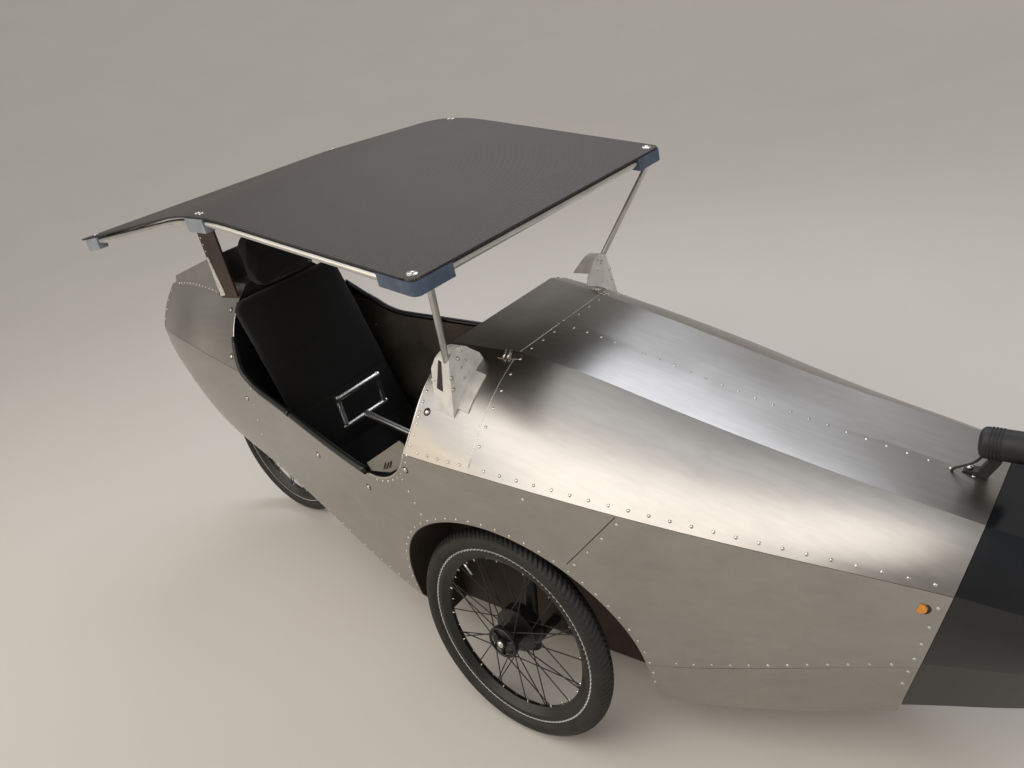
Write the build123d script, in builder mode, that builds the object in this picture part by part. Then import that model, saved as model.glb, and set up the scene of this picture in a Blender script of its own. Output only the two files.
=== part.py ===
from build123d import *
import os
from collections import namedtuple
from math import asin, atan, cos, degrees, hypot, radians, sin, sqrt, tan

# A three-wheeled velomobile: a riveted aluminium body with two steered wheels in
# front, one wheel in the tail, an open cockpit and a solar roof on posts.
# Millimetres. +X is forward, +Y is the rider's left, +Z is up.
# The origin is on the floor under the middle of the vehicle.

os.makedirs("parts", exist_ok=True)

# Running gear
AXLE_X = 215.0
WHEELBASE = 1265.0
REAR_AXLE_X = AXLE_X - WHEELBASE
HALF_TRACK = 335.0
TYRE_R = 250.0
TYRE_HALF = 24.5
TYRE_BEAD_R = 205.0
TREAD_DROP = 7.0
TREAD_R = TYRE_R - TREAD_DROP
TREAD_HALF = 16.2
RIM_FLANGE_R = 211.0
RIM_INNER_R = 181.0
RIM_HALF = 15.5
RIM_SIDE = 8.0
RIM_NOSE = 4.0
CAMBER = 6.5
HUB_Z = (TYRE_R - TYRE_HALF) * cos(radians(CAMBER)) + TYRE_HALF
REAR_HUB_Z = TYRE_R
AXLE_R = 7.5
RUNNING_GAP = 0.05
HUB_HALF = 34.0
HUB_R = 24.0
DRUM_R = 52.0
DRUM_SIDE = -HUB_HALF + 26
FLANGE_R = HUB_R + 12
SPOKES_A_SIDE = 16
SPOKE_R = 1.3
SPOKE_STAGGER = 4.0
SPOKE_END_R = RIM_INNER_R + 2
KINGPIN_INSET = 66.0
KINGPIN_LEAN = 12.0
KINGPIN_R = 9.0

# Body sheet
SHEET = 2.0
SEAM_GAP = 1.0
SEAT_GAP = 0.4
NOSE_WALL = 3.0
COWL_FRONT = 20.0
COWL_REAR = -133.0
COCKPIT_REAR = -972.0
# The sill runs between two corners, front and rear, each with its own bend
COCKPIT_FRONT_Z = 569.0
COCKPIT_REAR_Z = 690.0
COCKPIT_BENDS = (165.0, 215.0)
BULKHEAD_THICK = 4.0
BULKHEAD_BACK = COCKPIT_REAR - 1 - BULKHEAD_THICK
TAIL_SEAM_X = -859.0
TAIL_SEAM_Z = 656.0
TAIL_SEAM_LEAN = 0.45
NOSE_EDGE_TOP = 832.0
NOSE_EDGE_TOP_Z = 633.0
NOSE_LEAN = 15.0
ARCH_R = 300.0
WELL_WALL = 195.0
SIDE_SEAM_TOP = 345.0
SLOT_HALF = 70.0
SLOT_FRONT = -1008.0
SLOT_REAR = -1460.0
SLOT_TOP = 545.0
WIDE = 500.0
HIGH = 1300.0

# Cockpit edge, dash, seat and tiller, x from the front axle.
# The seat's line is (x, z) along its upper face, its depth (dx, dz) from there to the lower face.
TRIM_W = 14.0
TRIM_OUT = 7.0
TRIM_IN = 9.0
TRIM_FRONT = -314.0
TRIM_JOINT = -657.0
TRIM_TOP = 790.0
DASH_LOW = 640.0
SEAT_HALF = 185.0
SEAT_LINE = [(-400, 315), (-740, 280), (-928, 880)]
SEAT_DEPTH = [(0, 40), (30, 40), (38, 0)]
SEAT_BEND = 70.0
SEAT_CORNER = 40.0
SEAT_LEG_X = (-460, -640)
SEAT_LEG_Y = 130.0
SEAT_LEG_R = 9.0
HEADREST_X = -966.0
HEADREST_Z = 955.5
HEADREST_HALF = 100.0
HEADREST_TALL = 150.0
HEADREST_THICK = 50.0
TILLER_X = -230.0
TILLER_PIN_R = 6.0
FLOOR_TOP = 127.6
TILLER_Z = 365.0
GRIP_X = -765.0
GRIP_LOW_Z = 468.0
GRIP_TOP_Z = 556.0
GRIP_HALF = 82.0
GRIP_R = 8.0

# Front uprights and rear fork
STRUT_R = 14.0
STRUT_UP = 220.0
STRUT_DOWN = 55.0
PIN_REACH = 24.0
FORK_HALF = 58.0
AXLE_END = 16.0

# Roof, x from the front axle. Clamps are (front, rear), the post's foot is (x, half width, z).
# The bracket's outer and inner edges are (half width, z), its side view is (x, z).
# The fairing's rows are (x, lower half width, upper half width, top z).
ROOF_HALF = 400.0
ROOF_SHEET = 4.0
ROOF_LINE = [(63, 1087), (-551, 1202), (-1130, 1131)]
ROOF_BEND = 760.0
ROOF_ROUND = 14.0
TUBE_R = 7.5
TUBE_GAP = 4.0
TUBE_DROP = ROOF_SHEET + TUBE_GAP + TUBE_R
TUBE_Y = ROOF_HALF - TUBE_R
TUBE_STEP = 1.8
CLAMP_OUT = 2.0
CLAMP_LIP = 5.0
CLAMP_TALL = 29.0
MID_CLAMP = (-508, -572)
END_CLAMP = (-1030, -1095)
CORNER_FRONT = ROOF_LINE[0][0] + CLAMP_OUT
CORNER_LONG = 85.0
CORNER_REAR = CORNER_FRONT - CORNER_LONG
CORNER_INNER = ROOF_HALF - 95
CORNER_LEG = 25.0
CORNER_TALL = 25.0
FRONT_TUBE_X = 54.0
END_TUBE_X = -1062.0
POST_INSET = 42.0
POST_FOOT = (-66, 262, 840)
POST_R = 6.5
BRACKET_X = -40.0
BRACKET_DEEP = 50.0
BRACKET_SHEET = 2.5
BRACKET_OUTER = [(307, 740), (278, 871)]
BRACKET_CROWN = (250, 884)
BRACKET_INNER = [(219, 869), (195, 848), (187, 829), (187, 740)]
BRACKET_SIDE = [(-13, 740), (-13, 830), (-38, 900), (-66, 890), (-90, 850), (-90, 740)]
BRACKET_OPEN = 205.0
BRACKET_FOOT = (218, 288)
PYLON_X = -1022.0
PYLON_Y = 130.0
PYLON_WIDE = 84.0
PYLON_THICK = 6.0
FAIRING = [(-1080, 150, 110, 978), (-1395, 118, 80, 894)]

# Lamps, x from the front axle
LAMP_X = 829.0
LAMP_Z = 699.5
LAMP_R = 25.0
LAMP_LONG = 65.0
LAMP_ROUND = 10.0
LAMP_ARM = [(776, 600), (811, 600), (811, 639), (829, 670), (829, 700), (812, 700), (812, 673), (798, 648),
            (776, 646)]
LAMP_ARM_HALF = 9.0
LEAD_R = 2.0
LEAD_PATH = [(758, -16, 637), (764, -16, 652), (779, -15, 660), (793, -13, 667), (805, -10, 682)]
LEAD_ARC_SHARE = 0.45
INDICATOR_X = 770.0
INDICATOR_Z = 527.0
INDICATOR_R = 9.0
INDICATOR_W = 214.0

# Hull sections, measured from the front axle, half widths from the middle.
# The hood slope and the side below it are arcs with the given bulge.
Station = namedtuple(
    "Station",
    "x top_z top_w seam_z seam_w chine_z chine_w floor_z floor_w slope_bulge side_bulge",
)
HULL = [
    Station(1085, 480, 30, 455, 52, 405, 48, 375, 30, 4, 3),
    Station(985, 572, 80, 502, 140, 402, 124, 306, 80, 8, 6),
    Station(860, 622, 112, 545, 190, 395, 165, 262, 112, 8, 6),
    Station(600, 682, 124, 592, 255, 320, 212, 172, 172, 10, 8),
    Station(300, 762, 134, 645, 325, 250, 285, 140, 262, 12, 8),
    Station(20, 832, 150, 680, 360, 215, 325, 128, 290, 20, 8),
    Station(-150, 852, 178, 690, 365, 210, 330, 125, 280, 26, 8),
    Station(-600, 890, 150, 705, 300, 300, 278, 130, 190, 20, 8),
    Station(-1000, 900, 100, 720, 236, 385, 205, 220, 120, 12, 10),
    Station(-1250, 885, 92, 760, 212, 460, 175, 360, 62, 10, 10),
    Station(-1350, 876, 83, 755, 186, 504, 156, 432, 61, 9, 9),
    Station(-1450, 862, 70, 748, 150, 560, 130, 520, 60, 8, 8),
]
TOP_MID, SEAM, CHINE, FLOOR = 0, 2, 3, 4


def outward(a, b):
    """Unit normal of the chord from a to b, pointing out of the hull."""
    run = hypot(b[0] - a[0], b[1] - a[1])
    return (a[1] - b[1]) / run, (b[0] - a[0]) / run


def half_section(row, inset):
    """Corners from the top middle to the floor middle, and the two arc points."""
    corners = [
        (0, row.top_z), (row.top_w, row.top_z), (row.seam_w, row.seam_z),
        (row.chine_w, row.chine_z), (row.floor_w, row.floor_z), (0, row.floor_z),
    ]
    normals = [outward(a, b) for a, b in zip(corners, corners[1:])]
    before = [(0, 1)] + normals
    after = normals + [(0, -1)]
    moved = []
    for (w, z), n, m in zip(corners, before, after):
        share = inset / (1 + n[0] * m[0] + n[1] * m[1])
        moved.append((w - share * (n[0] + m[0]), z - share * (n[1] + m[1])))
    bulges = {1: row.slope_bulge, 2: row.side_bulge}
    arcs = {}
    for k, bulge in bulges.items():
        a, b, n = corners[k], corners[k + 1], normals[k]
        out = bulge - inset
        arcs[k] = ((a[0] + b[0]) / 2 + out * n[0], (a[1] + b[1]) / 2 + out * n[1])
    return moved, arcs


def run_line(corners, arcs, first, last, side):
    """Draw one edge of a section, corner by corner, on the given side."""
    step = 1 if last > first else -1
    for k in range(first, last, step):
        a = (side * corners[k][0], corners[k][1])
        b = (side * corners[k + step][0], corners[k + step][1])
        mid = arcs.get(min(k, k + step))
        if mid:
            ThreePointArc(a, (side * mid[0], mid[1]), b)
        else:
            Line(a, b)


def towards(a, b, step):
    """A point a short step from a on the way to b."""
    share = step / hypot(b[0] - a[0], b[1] - a[1])
    return a[0] + share * (b[0] - a[0]), a[1] + share * (b[1] - a[1])


def skin(first, last, side, rows=HULL, wall=SHEET):
    """Loft the sheet between two corners of the section along the whole hull."""
    with BuildPart() as sheet:
        for row in rows:
            outer, outer_arcs = half_section(row, 0)
            inner, inner_arcs = half_section(row, wall)
            for edge in (outer, inner):
                if first > TOP_MID:
                    edge[first] = towards(edge[first], edge[first + 1], SEAM_GAP / 2)
                if last < FLOOR + 1:
                    edge[last] = towards(edge[last], edge[last - 1], SEAM_GAP / 2)
            with BuildSketch(Plane.YZ.offset(AXLE_X + row.x)):
                with BuildLine():
                    run_line(outer, outer_arcs, first, last, side)
                    Line((side * outer[last][0], outer[last][1]),
                         (side * inner[last][0], inner[last][1]))
                    run_line(inner, inner_arcs, last, first, side)
                    Line((side * inner[first][0], inner[first][1]),
                         (side * outer[first][0], outer[first][1]))
                make_face()
        loft()
    return sheet.part


def solid_hull(rows, inset):
    """The closed body, or the room inside its sheet."""
    with BuildPart() as body:
        for row in rows:
            corners, arcs = half_section(row, inset)
            with BuildSketch(Plane.YZ.offset(AXLE_X + row.x)):
                with BuildLine():
                    run_line(corners, arcs, 0, 5, 1)
                    run_line(corners, arcs, 5, 0, -1)
                make_face()
        loft()
    return body.part


def zone(points, low=-WIDE, high=WIDE):
    """A prism across the vehicle with a side-view outline, from the front axle."""
    with BuildPart() as prism:
        with BuildSketch(Plane.XZ.offset(-high)):
            with BuildLine():
                Polyline(*[(AXLE_X + x, z) for x, z in points], close=True)
            make_face()
        extrude(amount=high - low)
    return prism.part


def nose_x(z):
    """Where the nose cone's edge stands at a height."""
    return NOSE_EDGE_TOP + tan(radians(NOSE_LEAN)) * (z - NOSE_EDGE_TOP_Z)


def nose_edge(z, ahead=0.0):
    return nose_x(z) + ahead, z


def tail_seam(z):
    """Where the seam between the middle and the tail sheet stands at a height."""
    return TAIL_SEAM_X - TAIL_SEAM_LEAN * (TAIL_SEAM_Z - z), z


def block(x0, x1, w0, w1, z0, z1):
    """A plain box, x measured from the front axle."""
    with BuildPart() as box:
        with Locations((AXLE_X + (x0 + x1) / 2, (w0 + w1) / 2, (z0 + z1) / 2)):
            Box(x1 - x0, w1 - w0, z1 - z0)
    return box.part


def cylinder(plane, radius, start, length):
    """A round bar along a plane's normal, from start to start + length."""
    with BuildPart() as bar:
        with BuildSketch(plane.offset(start)):
            Circle(radius)
        extrude(amount=length)
    return bar.part


def across(x, z, start):
    """A plane across the vehicle with its normal to the left, x from the front axle."""
    return Plane(origin=(AXLE_X + x, start, z), x_dir=(-1, 0, 0), z_dir=(0, 1, 0))


def upright(x, y):
    """A level plane at the floor under a point, x from the front axle."""
    return Plane(origin=(AXLE_X + x, y, 0))


def save(solid, name):
    solid.label = name
    export_step(solid, f"parts/{name}.step")


def save_pair(solid, name):
    """Write the right-hand piece and its mirror image on the left."""
    save(solid, f"{name}_right")
    with BuildPart() as left:
        mirror(solid, about=Plane.XZ)
    save(left.part, f"{name}_left")


# Cutting shapes


def cockpit_opening(inset):
    """The cockpit's side-view opening, drawn in by an inset, as a prism across the vehicle."""
    sill_rise = (COCKPIT_REAR_Z - COCKPIT_FRONT_Z) / (COWL_REAR - COCKPIT_REAR)
    lift = inset * hypot(1, sill_rise)
    front, rear = AXLE_X + COWL_REAR - inset, AXLE_X + COCKPIT_REAR + inset
    with BuildPart() as opening:
        with BuildSketch(Plane.XZ.offset(-WIDE)):
            with BuildLine():
                FilletPolyline(
                    (front, HIGH),
                    (front, COCKPIT_FRONT_Z + lift + sill_rise * inset),
                    (rear, COCKPIT_REAR_Z + lift - sill_rise * inset),
                    (rear, HIGH),
                    radius=[bend - inset for bend in COCKPIT_BENDS],
                )
                Line((rear, HIGH), (front, HIGH))
            make_face()
        extrude(amount=2 * WIDE)
    return opening.part


cockpit_cut = cockpit_opening(0)


def arch_shape(radius, first, depth):
    """The wheel arch's side-view outline, as prisms on both sides."""
    with BuildPart() as prisms:
        for near in (first, -first - depth):
            with BuildSketch(Plane.XZ.offset(near)):
                with BuildLine():
                    Line((AXLE_X - radius, 0), (AXLE_X - radius, HUB_Z))
                    RadiusArc((AXLE_X - radius, HUB_Z), (AXLE_X + radius, HUB_Z), radius)
                    Line((AXLE_X + radius, HUB_Z), (AXLE_X + radius, 0))
                    Line((AXLE_X + radius, 0), (AXLE_X - radius, 0))
                make_face()
            extrude(amount=depth)
    return prisms.part


arch_cut = arch_shape(ARCH_R, WELL_WALL, WIDE)
room = solid_hull(HULL, SHEET + SEAT_GAP)
ahead_of_seam = zone([(SIDE_SEAM_TOP, 670), (60, 355), (60, 0), nose_edge(0), nose_edge(HIGH),
                      (SIDE_SEAM_TOP, HIGH)])
hood_zone = zone([(COWL_FRONT, 0), nose_edge(0), nose_edge(HIGH), (COWL_FRONT, HIGH)])
cowl_zone = zone([(COWL_REAR - 120, 0), (COWL_FRONT, 0), (COWL_FRONT, HIGH), (COWL_REAR - 120, HIGH)])
deck_zone = zone([(-1500, 0), (-700, 0), (-700, HIGH), (-1500, HIGH)])
tail_zone = zone([(-1500, 0), tail_seam(0), tail_seam(HIGH), (-1500, HIGH)])
mid_zone = zone([tail_seam(0), (SIDE_SEAM_TOP, 0), (SIDE_SEAM_TOP, HIGH), tail_seam(HIGH)])
under_zone = zone([(-1500, 0), nose_edge(0), nose_edge(HIGH), (-1500, HIGH)])
wheel_slot = block(SLOT_REAR, SLOT_FRONT, -SLOT_HALF, SLOT_HALF, 0, SLOT_TOP)

# Body sheets

upper = skin(TOP_MID, SEAM, -1)
flank = skin(SEAM, CHINE, -1)
bilge = skin(CHINE, FLOOR, -1)

with BuildPart() as hood:
    add(upper)
    add(hood_zone, mode=Mode.INTERSECT)
save_pair(hood.part, "hood")

with BuildPart() as cowl:
    add(upper)
    add(cowl_zone, mode=Mode.INTERSECT)
    add(cockpit_cut, mode=Mode.SUBTRACT)
    mirror(about=Plane.XZ)
save(cowl.part, "cowl")

with BuildPart() as deck:
    add(upper)
    add(deck_zone, mode=Mode.INTERSECT)
    add(cockpit_cut, mode=Mode.SUBTRACT)
    mirror(about=Plane.XZ)
save(deck.part, "tail_deck")

with BuildPart() as side_front:
    add(flank)
    add(ahead_of_seam, mode=Mode.INTERSECT)
    add(arch_cut, mode=Mode.SUBTRACT)
save_pair(side_front.part, "side_front")

with BuildPart() as side_mid:
    add(flank)
    add(mid_zone, mode=Mode.INTERSECT)
    add(ahead_of_seam, mode=Mode.SUBTRACT)
    add(arch_cut, mode=Mode.SUBTRACT)
    add(cockpit_cut, mode=Mode.SUBTRACT)
save_pair(side_mid.part, "side_mid")

with BuildPart() as side_tail:
    add(flank)
    add(tail_zone, mode=Mode.INTERSECT)
    add(cockpit_cut, mode=Mode.SUBTRACT)
save_pair(side_tail.part, "side_tail")

with BuildPart() as strakes:
    add(bilge)
    add(under_zone, mode=Mode.INTERSECT)
    add(arch_cut, mode=Mode.SUBTRACT)
    add(wheel_slot, mode=Mode.SUBTRACT)
    mirror(about=Plane.XZ)
save(strakes.part, "strakes")

with BuildPart() as floor_pan:
    add(skin(FLOOR, FLOOR + 1, -1))
    add(under_zone, mode=Mode.INTERSECT)
    mirror(about=Plane.XZ)
    add(arch_cut, mode=Mode.SUBTRACT)
    add(wheel_slot, mode=Mode.SUBTRACT)
save(floor_pan.part, "floor_pan")

with BuildPart() as nose_cone:
    add(solid_hull(HULL[:4], 0))
    add(solid_hull([HULL[0]._replace(x=HULL[0].x - 8)] + HULL[1:4], NOSE_WALL), mode=Mode.SUBTRACT)
    add(zone([(-1500, 0), nose_edge(0, SEAM_GAP), nose_edge(HIGH, SEAM_GAP), (-1500, HIGH)]),
        mode=Mode.SUBTRACT)
save(nose_cone.part, "nose_cone")

with BuildPart() as wheel_well:
    add(arch_shape(ARCH_R, WELL_WALL - SHEET, WIDE))
    add(arch_shape(ARCH_R - SHEET, WELL_WALL, WIDE), mode=Mode.SUBTRACT)
    add(block(-WIDE, WIDE, 0, WIDE, -10, HIGH), mode=Mode.SUBTRACT)
    add(room, mode=Mode.INTERSECT)
    mirror(about=Plane.XZ)
save(wheel_well.part, "wheel_wells")

with BuildPart() as bulkhead:
    add(block(BULKHEAD_BACK, BULKHEAD_BACK + BULKHEAD_THICK, -WIDE, WIDE, 0, HIGH))
    add(room, mode=Mode.INTERSECT)
save(bulkhead.part, "rear_bulkhead")

with BuildPart() as tail_end:
    with BuildSketch(Plane.YZ.offset(AXLE_X + HULL[-1].x)):
        with BuildLine():
            end_corners, end_arcs = half_section(HULL[-1], 0)
            run_line(end_corners, end_arcs, 0, 5, 1)
            run_line(end_corners, end_arcs, 5, 0, -1)
        make_face()
    extrude(amount=-SHEET)
save(tail_end.part, "tail_end")

# Cockpit edge, seat and tiller

with BuildPart() as cockpit_trim:
    add(solid_hull(HULL[4:10], -TRIM_OUT))
    add(solid_hull(HULL[4:10], TRIM_IN), mode=Mode.SUBTRACT)
    add(cockpit_cut, mode=Mode.INTERSECT)
    add(cockpit_opening(TRIM_W), mode=Mode.SUBTRACT)
    add(block(COCKPIT_REAR, TRIM_FRONT, -WIDE, 0, 0, TRIM_TOP), mode=Mode.INTERSECT)
    add(block(TRIM_JOINT, TRIM_JOINT + SEAM_GAP, -WIDE, 0, 0, TRIM_TOP), mode=Mode.SUBTRACT)
    mirror(about=Plane.XZ)
save(cockpit_trim.part, "cockpit_trim")

with BuildPart() as dash:
    add(block(COWL_REAR + 2, COWL_REAR + 6, -WIDE, WIDE, DASH_LOW, HIGH))
    add(room, mode=Mode.INTERSECT)
save(dash.part, "dash_panel")

with BuildPart() as seat:
    with BuildSketch(Plane.XZ.offset(-SEAT_HALF)):
        with BuildLine():
            front = FilletPolyline(*[(AXLE_X + x, z) for x, z in SEAT_LINE], radius=SEAT_BEND)
            back = FilletPolyline(
                *[(AXLE_X + x - dx, z - dz) for (x, z), (dx, dz) in zip(SEAT_LINE, SEAT_DEPTH)],
                radius=SEAT_BEND)
            Line(front @ 0, back @ 0)
            Line(front @ 1, back @ 1)
        make_face()
    extrude(amount=2 * SEAT_HALF)
    fillet(seat.edges().group_by(Axis.Z)[-1].filter_by(Axis.X), SEAT_CORNER)
save(seat.part, "seat")

seat_under = [(x - dx, z - dz) for (x, z), (dx, dz) in zip(SEAT_LINE, SEAT_DEPTH)]
with BuildPart() as seat_frame:
    for x in SEAT_LEG_X:
        share = (x - seat_under[0][0]) / (seat_under[1][0] - seat_under[0][0])
        top = seat_under[0][1] + share * (seat_under[1][1] - seat_under[0][1]) - SEAT_LEG_R
        for y in (-SEAT_LEG_Y, SEAT_LEG_Y):
            add(cylinder(upright(x, y), SEAT_LEG_R, 0, top))
        add(cylinder(across(x, top, -SEAT_HALF), SEAT_LEG_R - SEAT_GAP, 0, 2 * SEAT_HALF))
    add(room, mode=Mode.INTERSECT)
save(seat_frame.part, "seat_frame")

with BuildPart() as headrest:
    with BuildSketch(Plane.YZ.offset(AXLE_X + HEADREST_X)):
        with Locations((0, HEADREST_Z)):
            RectangleRounded(2 * HEADREST_HALF, HEADREST_TALL, 40)
    extrude(amount=HEADREST_THICK)
save(headrest.part, "headrest")

with BuildPart() as tiller_post:
    add(block(TILLER_X - 25, TILLER_X + 25, -30, 30, FLOOR_TOP - 2 * SHEET, FLOOR_TOP + 8))
    add(cylinder(upright(TILLER_X, 0), 12, FLOOR_TOP + 8, TILLER_Z - 20 - FLOOR_TOP - 8))
    add(cylinder(upright(TILLER_X, 0), TILLER_PIN_R, TILLER_Z - 20, 36))
    add(room, mode=Mode.INTERSECT)
save(tiller_post.part, "tiller_post")

with BuildPart() as tiller:
    add(cylinder(upright(TILLER_X, 0), TILLER_PIN_R + 10, TILLER_Z - 19, 32))
    arm = Vector(GRIP_X - TILLER_X, 0, GRIP_LOW_Z - TILLER_Z)
    with BuildSketch(Plane(origin=(AXLE_X + TILLER_X, 0, TILLER_Z), z_dir=arm)):
        Circle(11)
    extrude(amount=arm.length)
    for z in (GRIP_LOW_Z, GRIP_TOP_Z):
        add(cylinder(across(GRIP_X, z, -GRIP_HALF), GRIP_R, 0, 2 * GRIP_HALF))
    for side in (-1, 1):
        add(cylinder(upright(GRIP_X, side * (GRIP_HALF - GRIP_R)), GRIP_R - 1,
                     GRIP_LOW_Z, GRIP_TOP_Z - GRIP_LOW_Z))
    add(cylinder(upright(TILLER_X, 0), TILLER_PIN_R + RUNNING_GAP, TILLER_Z - 60, 120),
        mode=Mode.SUBTRACT)
save(tiller.part, "tiller")

# Wheels, drawn round their own axle


def wheel_plane(side, camber=CAMBER, x=AXLE_X, half_track=HALF_TRACK, z=HUB_Z):
    """The wheel's own frame: its normal points out of the vehicle along the axle."""
    lean = radians(camber)
    return Plane(origin=(x, side * half_track, z), x_dir=(1, 0, 0),
                 z_dir=(0, side * cos(lean), sin(lean)))


with BuildPart() as tyre:
    with BuildSketch(Plane.XZ):
        with BuildLine():
            Line((TYRE_BEAD_R, -RIM_HALF), (TYRE_BEAD_R, RIM_HALF))
            Line((TYRE_BEAD_R, RIM_HALF), (RIM_FLANGE_R, RIM_HALF))
            ThreePointArc((RIM_FLANGE_R, RIM_HALF), (TYRE_R - TYRE_HALF, TYRE_HALF),
                          (TREAD_R, TREAD_HALF))
            ThreePointArc((TREAD_R, TREAD_HALF), (TYRE_R, 0), (TREAD_R, -TREAD_HALF))
            ThreePointArc((TREAD_R, -TREAD_HALF), (TYRE_R - TYRE_HALF, -TYRE_HALF),
                          (RIM_FLANGE_R, -RIM_HALF))
            Line((RIM_FLANGE_R, -RIM_HALF), (TYRE_BEAD_R, -RIM_HALF))
        make_face()
    revolve(axis=Axis.Z)

with BuildPart() as wheel:
    with BuildSketch(Plane.XZ):
        with BuildLine():
            Polyline((TYRE_BEAD_R, RIM_HALF), (TYRE_BEAD_R - RIM_SIDE, RIM_HALF),
                     (RIM_INNER_R, RIM_NOSE), (RIM_INNER_R, -RIM_NOSE),
                     (TYRE_BEAD_R - RIM_SIDE, -RIM_HALF),
                     (TYRE_BEAD_R, -RIM_HALF), close=True)
        make_face()
    revolve(axis=Axis.Z)
    with BuildSketch(Plane.XZ):
        with BuildLine():
            Polyline((AXLE_R + RUNNING_GAP, -HUB_HALF), (DRUM_R, -HUB_HALF), (DRUM_R, DRUM_SIDE),
                     (HUB_R, DRUM_SIDE + 6), (HUB_R, HUB_HALF - 12), (FLANGE_R, HUB_HALF - 8),
                     (FLANGE_R, HUB_HALF - 4), (HUB_R, HUB_HALF),
                     (AXLE_R + RUNNING_GAP, HUB_HALF), close=True)
        make_face()
    revolve(axis=Axis.Z)
    for turn in range(SPOKES_A_SIDE):
        for reach, height, lead in ((DRUM_R - 3, DRUM_SIDE - 6, 24), (FLANGE_R - 3, HUB_HALF - 6, 36)):
            near = radians(360 * turn / SPOKES_A_SIDE + (0 if height < 0 else 180 / SPOKES_A_SIDE))
            far = near + radians(lead if turn % 2 else -lead)
            start = Vector(reach * cos(near), reach * sin(near), height + (turn % 2) * SPOKE_STAGGER)
            end = Vector(SPOKE_END_R * cos(far), SPOKE_END_R * sin(far), 0)
            with BuildSketch(Plane(origin=start, z_dir=end - start)):
                Circle(SPOKE_R)
            extrude(amount=(end - start).length)

rear_plane = wheel_plane(1, 0, REAR_AXLE_X, 0, REAR_HUB_Z)
for name, plane in (("front_left", wheel_plane(1)), ("front_right", wheel_plane(-1)),
                    ("rear", rear_plane)):
    save(tyre.part.moved(plane.location), f"tyre_{name}")
    save(wheel.part.moved(plane.location), f"wheel_{name}")


# Front uprights: each turns on its kingpin and carries one wheel


def kingpin_plane(side):
    wheel_axis = wheel_plane(side)
    lean = radians(KINGPIN_LEAN)
    return Plane(origin=wheel_axis.from_local_coords((0, 0, -KINGPIN_INSET)), x_dir=(1, 0, 0),
                 z_dir=(0, -side * sin(lean), cos(lean)))


def knuckle(side):
    with BuildPart() as upright:
        pin = kingpin_plane(side)
        axle = wheel_plane(side)
        add(cylinder(pin, STRUT_R, -STRUT_DOWN, STRUT_DOWN + STRUT_UP))
        add(cylinder(pin, KINGPIN_R, STRUT_UP, PIN_REACH))
        add(cylinder(pin, KINGPIN_R, -STRUT_DOWN - PIN_REACH, PIN_REACH))
        add(cylinder(axle, AXLE_R, -KINGPIN_INSET, KINGPIN_INSET + HUB_HALF + 10))
        add(cylinder(axle, 14, -KINGPIN_INSET, KINGPIN_INSET - HUB_HALF - 2))
        add(cylinder(axle, DRUM_R - 2, -HUB_HALF - 6, 4))
        add(cylinder(axle, 11, HUB_HALF + 2, 8))
    return upright.part


for side, name in ((1, "left"), (-1, "right")):
    save(knuckle(side), f"knuckle_{name}")

# Where each upright turns: a cup at the top of the well and an arm below
pin = kingpin_plane(-1)
with BuildPart() as strut_mounts:
    for start in (STRUT_UP + 2, -STRUT_DOWN - PIN_REACH):
        tall = PIN_REACH - 2
        mid = pin.from_local_coords((0, 0, start + tall / 2))
        add(cylinder(pin, KINGPIN_R + 7, start, tall))
        with Locations((mid.X, (mid.Y - WELL_WALL) / 2, mid.Z)):
            Box(18, abs(mid.Y + WELL_WALL), 12)
        add(cylinder(pin, KINGPIN_R + RUNNING_GAP, start - 5, tall + 10), mode=Mode.SUBTRACT)
    mirror(about=Plane.XZ)
save(strut_mounts.part, "strut_mounts")

with BuildPart() as rear_fork:
    for side in (-1, 1):
        with BuildSketch(Plane.XZ.offset(-side * FORK_HALF)):
            with BuildLine():
                Polyline((REAR_AXLE_X - 18, REAR_HUB_Z - 16), (REAR_AXLE_X + 20, REAR_HUB_Z - 16),
                         (AXLE_X + BULKHEAD_BACK, 262), (AXLE_X + BULKHEAD_BACK, 302),
                         (REAR_AXLE_X + 20, REAR_HUB_Z + 16), (REAR_AXLE_X - 18, REAR_HUB_Z + 16),
                         close=True)
            make_face()
        extrude(amount=4, both=True)
    add(cylinder(rear_plane, AXLE_R, -FORK_HALF - AXLE_END, 2 * (FORK_HALF + AXLE_END)))
save(rear_fork.part, "rear_fork")

# Roof and what carries it


def roof_run(drop):
    """The roof's side-view line, a given drop below its upper face."""
    return FilletPolyline(*[(AXLE_X + x, z - drop) for x, z in ROOF_LINE], radius=ROOF_BEND)


with BuildPart() as roof_panel:
    with BuildSketch(Plane.XZ.offset(-ROOF_HALF)):
        with BuildLine():
            top = roof_run(0)
            under = roof_run(ROOF_SHEET)
            Line(top @ 0, under @ 0)
            Line(top @ 1, under @ 1)
        make_face()
    extrude(amount=2 * ROOF_HALF)
    fillet(roof_panel.edges().filter_by(Axis.Z), ROOF_ROUND)
save(roof_panel.part, "roof_panel")

# The roof's bend: an arc between its two straight runs
(front_x, front_z), (apex_x, apex_z), (end_x, end_z) = ROOF_LINE
rise = (front_z - apex_z) / (front_x - apex_x)
fall = (apex_z - end_z) / (apex_x - end_x)
bend_half = (atan(fall) - atan(rise)) / 2
bend_run = ROOF_BEND * tan(bend_half)
bend_front = apex_x + bend_run * cos(atan(rise))
bend_rear = apex_x - bend_run * cos(atan(fall))
bend_mid_x = bend_front + ROOF_BEND * sin(atan(rise))
bend_centre_z = front_z + rise * (bend_front - front_x) - ROOF_BEND * cos(atan(rise))


def roof_z(x, drop=0.0):
    """Height of the roof's upper face, or a line below it, x from the front axle."""
    if x >= bend_front:
        return front_z + rise * (x - front_x) - drop
    if x <= bend_rear:
        return end_z + fall * (x - end_x) - drop
    return bend_centre_z + sqrt(ROOF_BEND ** 2 - (x - bend_mid_x) ** 2) - drop


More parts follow.
